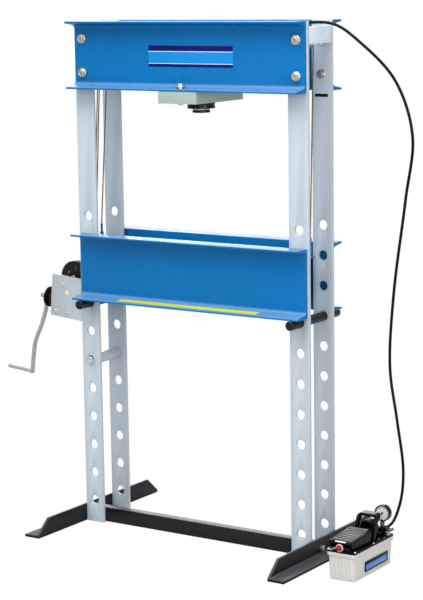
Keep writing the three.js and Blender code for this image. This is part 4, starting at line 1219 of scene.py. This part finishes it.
def studio_world():
    """White to the eye; lights the press from a bright ceiling and a dimmer horizon."""
    world = bpy.data.worlds.new("studio")
    world.use_nodes = True
    tree = world.node_tree
    white = tree.nodes["Background"]
    white.inputs["Color"].default_value = (1, 1, 1, 1)
    lit = tree.nodes.new("ShaderNodeBackground")
    place = tree.nodes.new("ShaderNodeTexCoord")
    split = tree.nodes.new("ShaderNodeSeparateXYZ")
    ramp = tree.nodes.new("ShaderNodeValToRGB")
    tree.links.new(place.outputs["Generated"], split.inputs[0])
    tree.links.new(split.outputs["Z"], ramp.inputs[0])
    tree.links.new(ramp.outputs[0], lit.inputs["Color"])
    stops = [(0.0, 0.25), (0.25, 0.46), (0.7, 0.95)]
    ramp.color_ramp.elements.new(0.5)
    for element, (where, grey) in zip(ramp.color_ramp.elements, stops):
        element.position = where
        element.color = (grey, grey, grey * 1.03, 1)
    seen_and_lit(tree, white.outputs[0], lit.outputs[0], tree.nodes["World Output"].inputs["Surface"])
    return world


def studio_floor():
    """A floor that reads as the white background and bounces only some of the light."""
    mesh = bpy.data.meshes.new("floor")
    reach = 30.0
    mesh.from_pydata([(-reach, -reach, 0), (reach, -reach, 0), (reach, reach, 0), (-reach, reach, 0)], [],
                     [(0, 1, 2, 3)])
    floor = bpy.data.objects.new("floor", mesh)
    floor.location.z = -0.0005
    bpy.context.scene.collection.objects.link(floor)
    pale = Shader("floor", "bcbcbc", 0.8)
    pale.shade(pale.noise(0.6), 0.01)
    mesh.materials.append(pale.done())
    tree = pale.tree
    glow = tree.nodes.new("ShaderNodeEmission")
    glow.inputs["Strength"].default_value = 1.0
    output = tree.nodes["Material Output"].inputs["Surface"]
    seen_and_lit(tree, glow.outputs[0], pale.body.outputs[0], output)


def studio():
    scene = bpy.context.scene
    scene.view_settings.view_transform = "Standard"
    scene.view_settings.look = "None"
    scene.world = studio_world()
    studio_floor()
    area_light("ceiling", (0.2, -2.2, 4.6), (0, 0, 0.9), 2.6, 130)
    area_light("right", (4.6, -2.0, 1.8), (0, 0, 0.9), 1.8, 60)
    area_light("front", (-1.5, -5.0, 3.0), (0, 0, 0.9), 2.4, 32)
    area_light("fill", (3.4, -5.0, 2.3), (0, 0, 0.9), 2.0, 62)
    area_light("back", (-2.8, 4.4, 2.8), (0, 0, 1.2), 3.4, 95)


def camera():
    """Long lens to the right of the front, a little above the press, with a slight roll."""
    yaw, pitch, roll = (math.radians(a) for a in (33.61, 9.51, -0.86))
    ahead = Vector((-math.sin(yaw) * math.cos(pitch), math.cos(yaw) * math.cos(pitch), -math.sin(pitch)))
    right = Vector((math.cos(yaw), math.sin(yaw), 0))
    up = right.cross(ahead)
    turned_right = right * math.cos(roll) + up * math.sin(roll)
    turned_up = up * math.cos(roll) - right * math.sin(roll)
    data = bpy.data.cameras.new("camera")
    data.lens = 115.6
    data.sensor_width = 36
    data.clip_end = 100
    view = bpy.data.objects.new("camera", data)
    rotation = Matrix((turned_right, turned_up, -ahead)).transposed()
    view.matrix_world = Matrix.Translation(point(3602.7, -5375.7, 1905.4)) @ rotation.to_4x4()
    bpy.context.scene.collection.objects.link(view)
    bpy.context.scene.camera = view


build_all()
for name, cad_node in frame["nodes"].items():
    if not cad_node.hide_render and not cad_node.modifiers:
        keep_cad(name, 0.8 * MM)
studio()
camera()
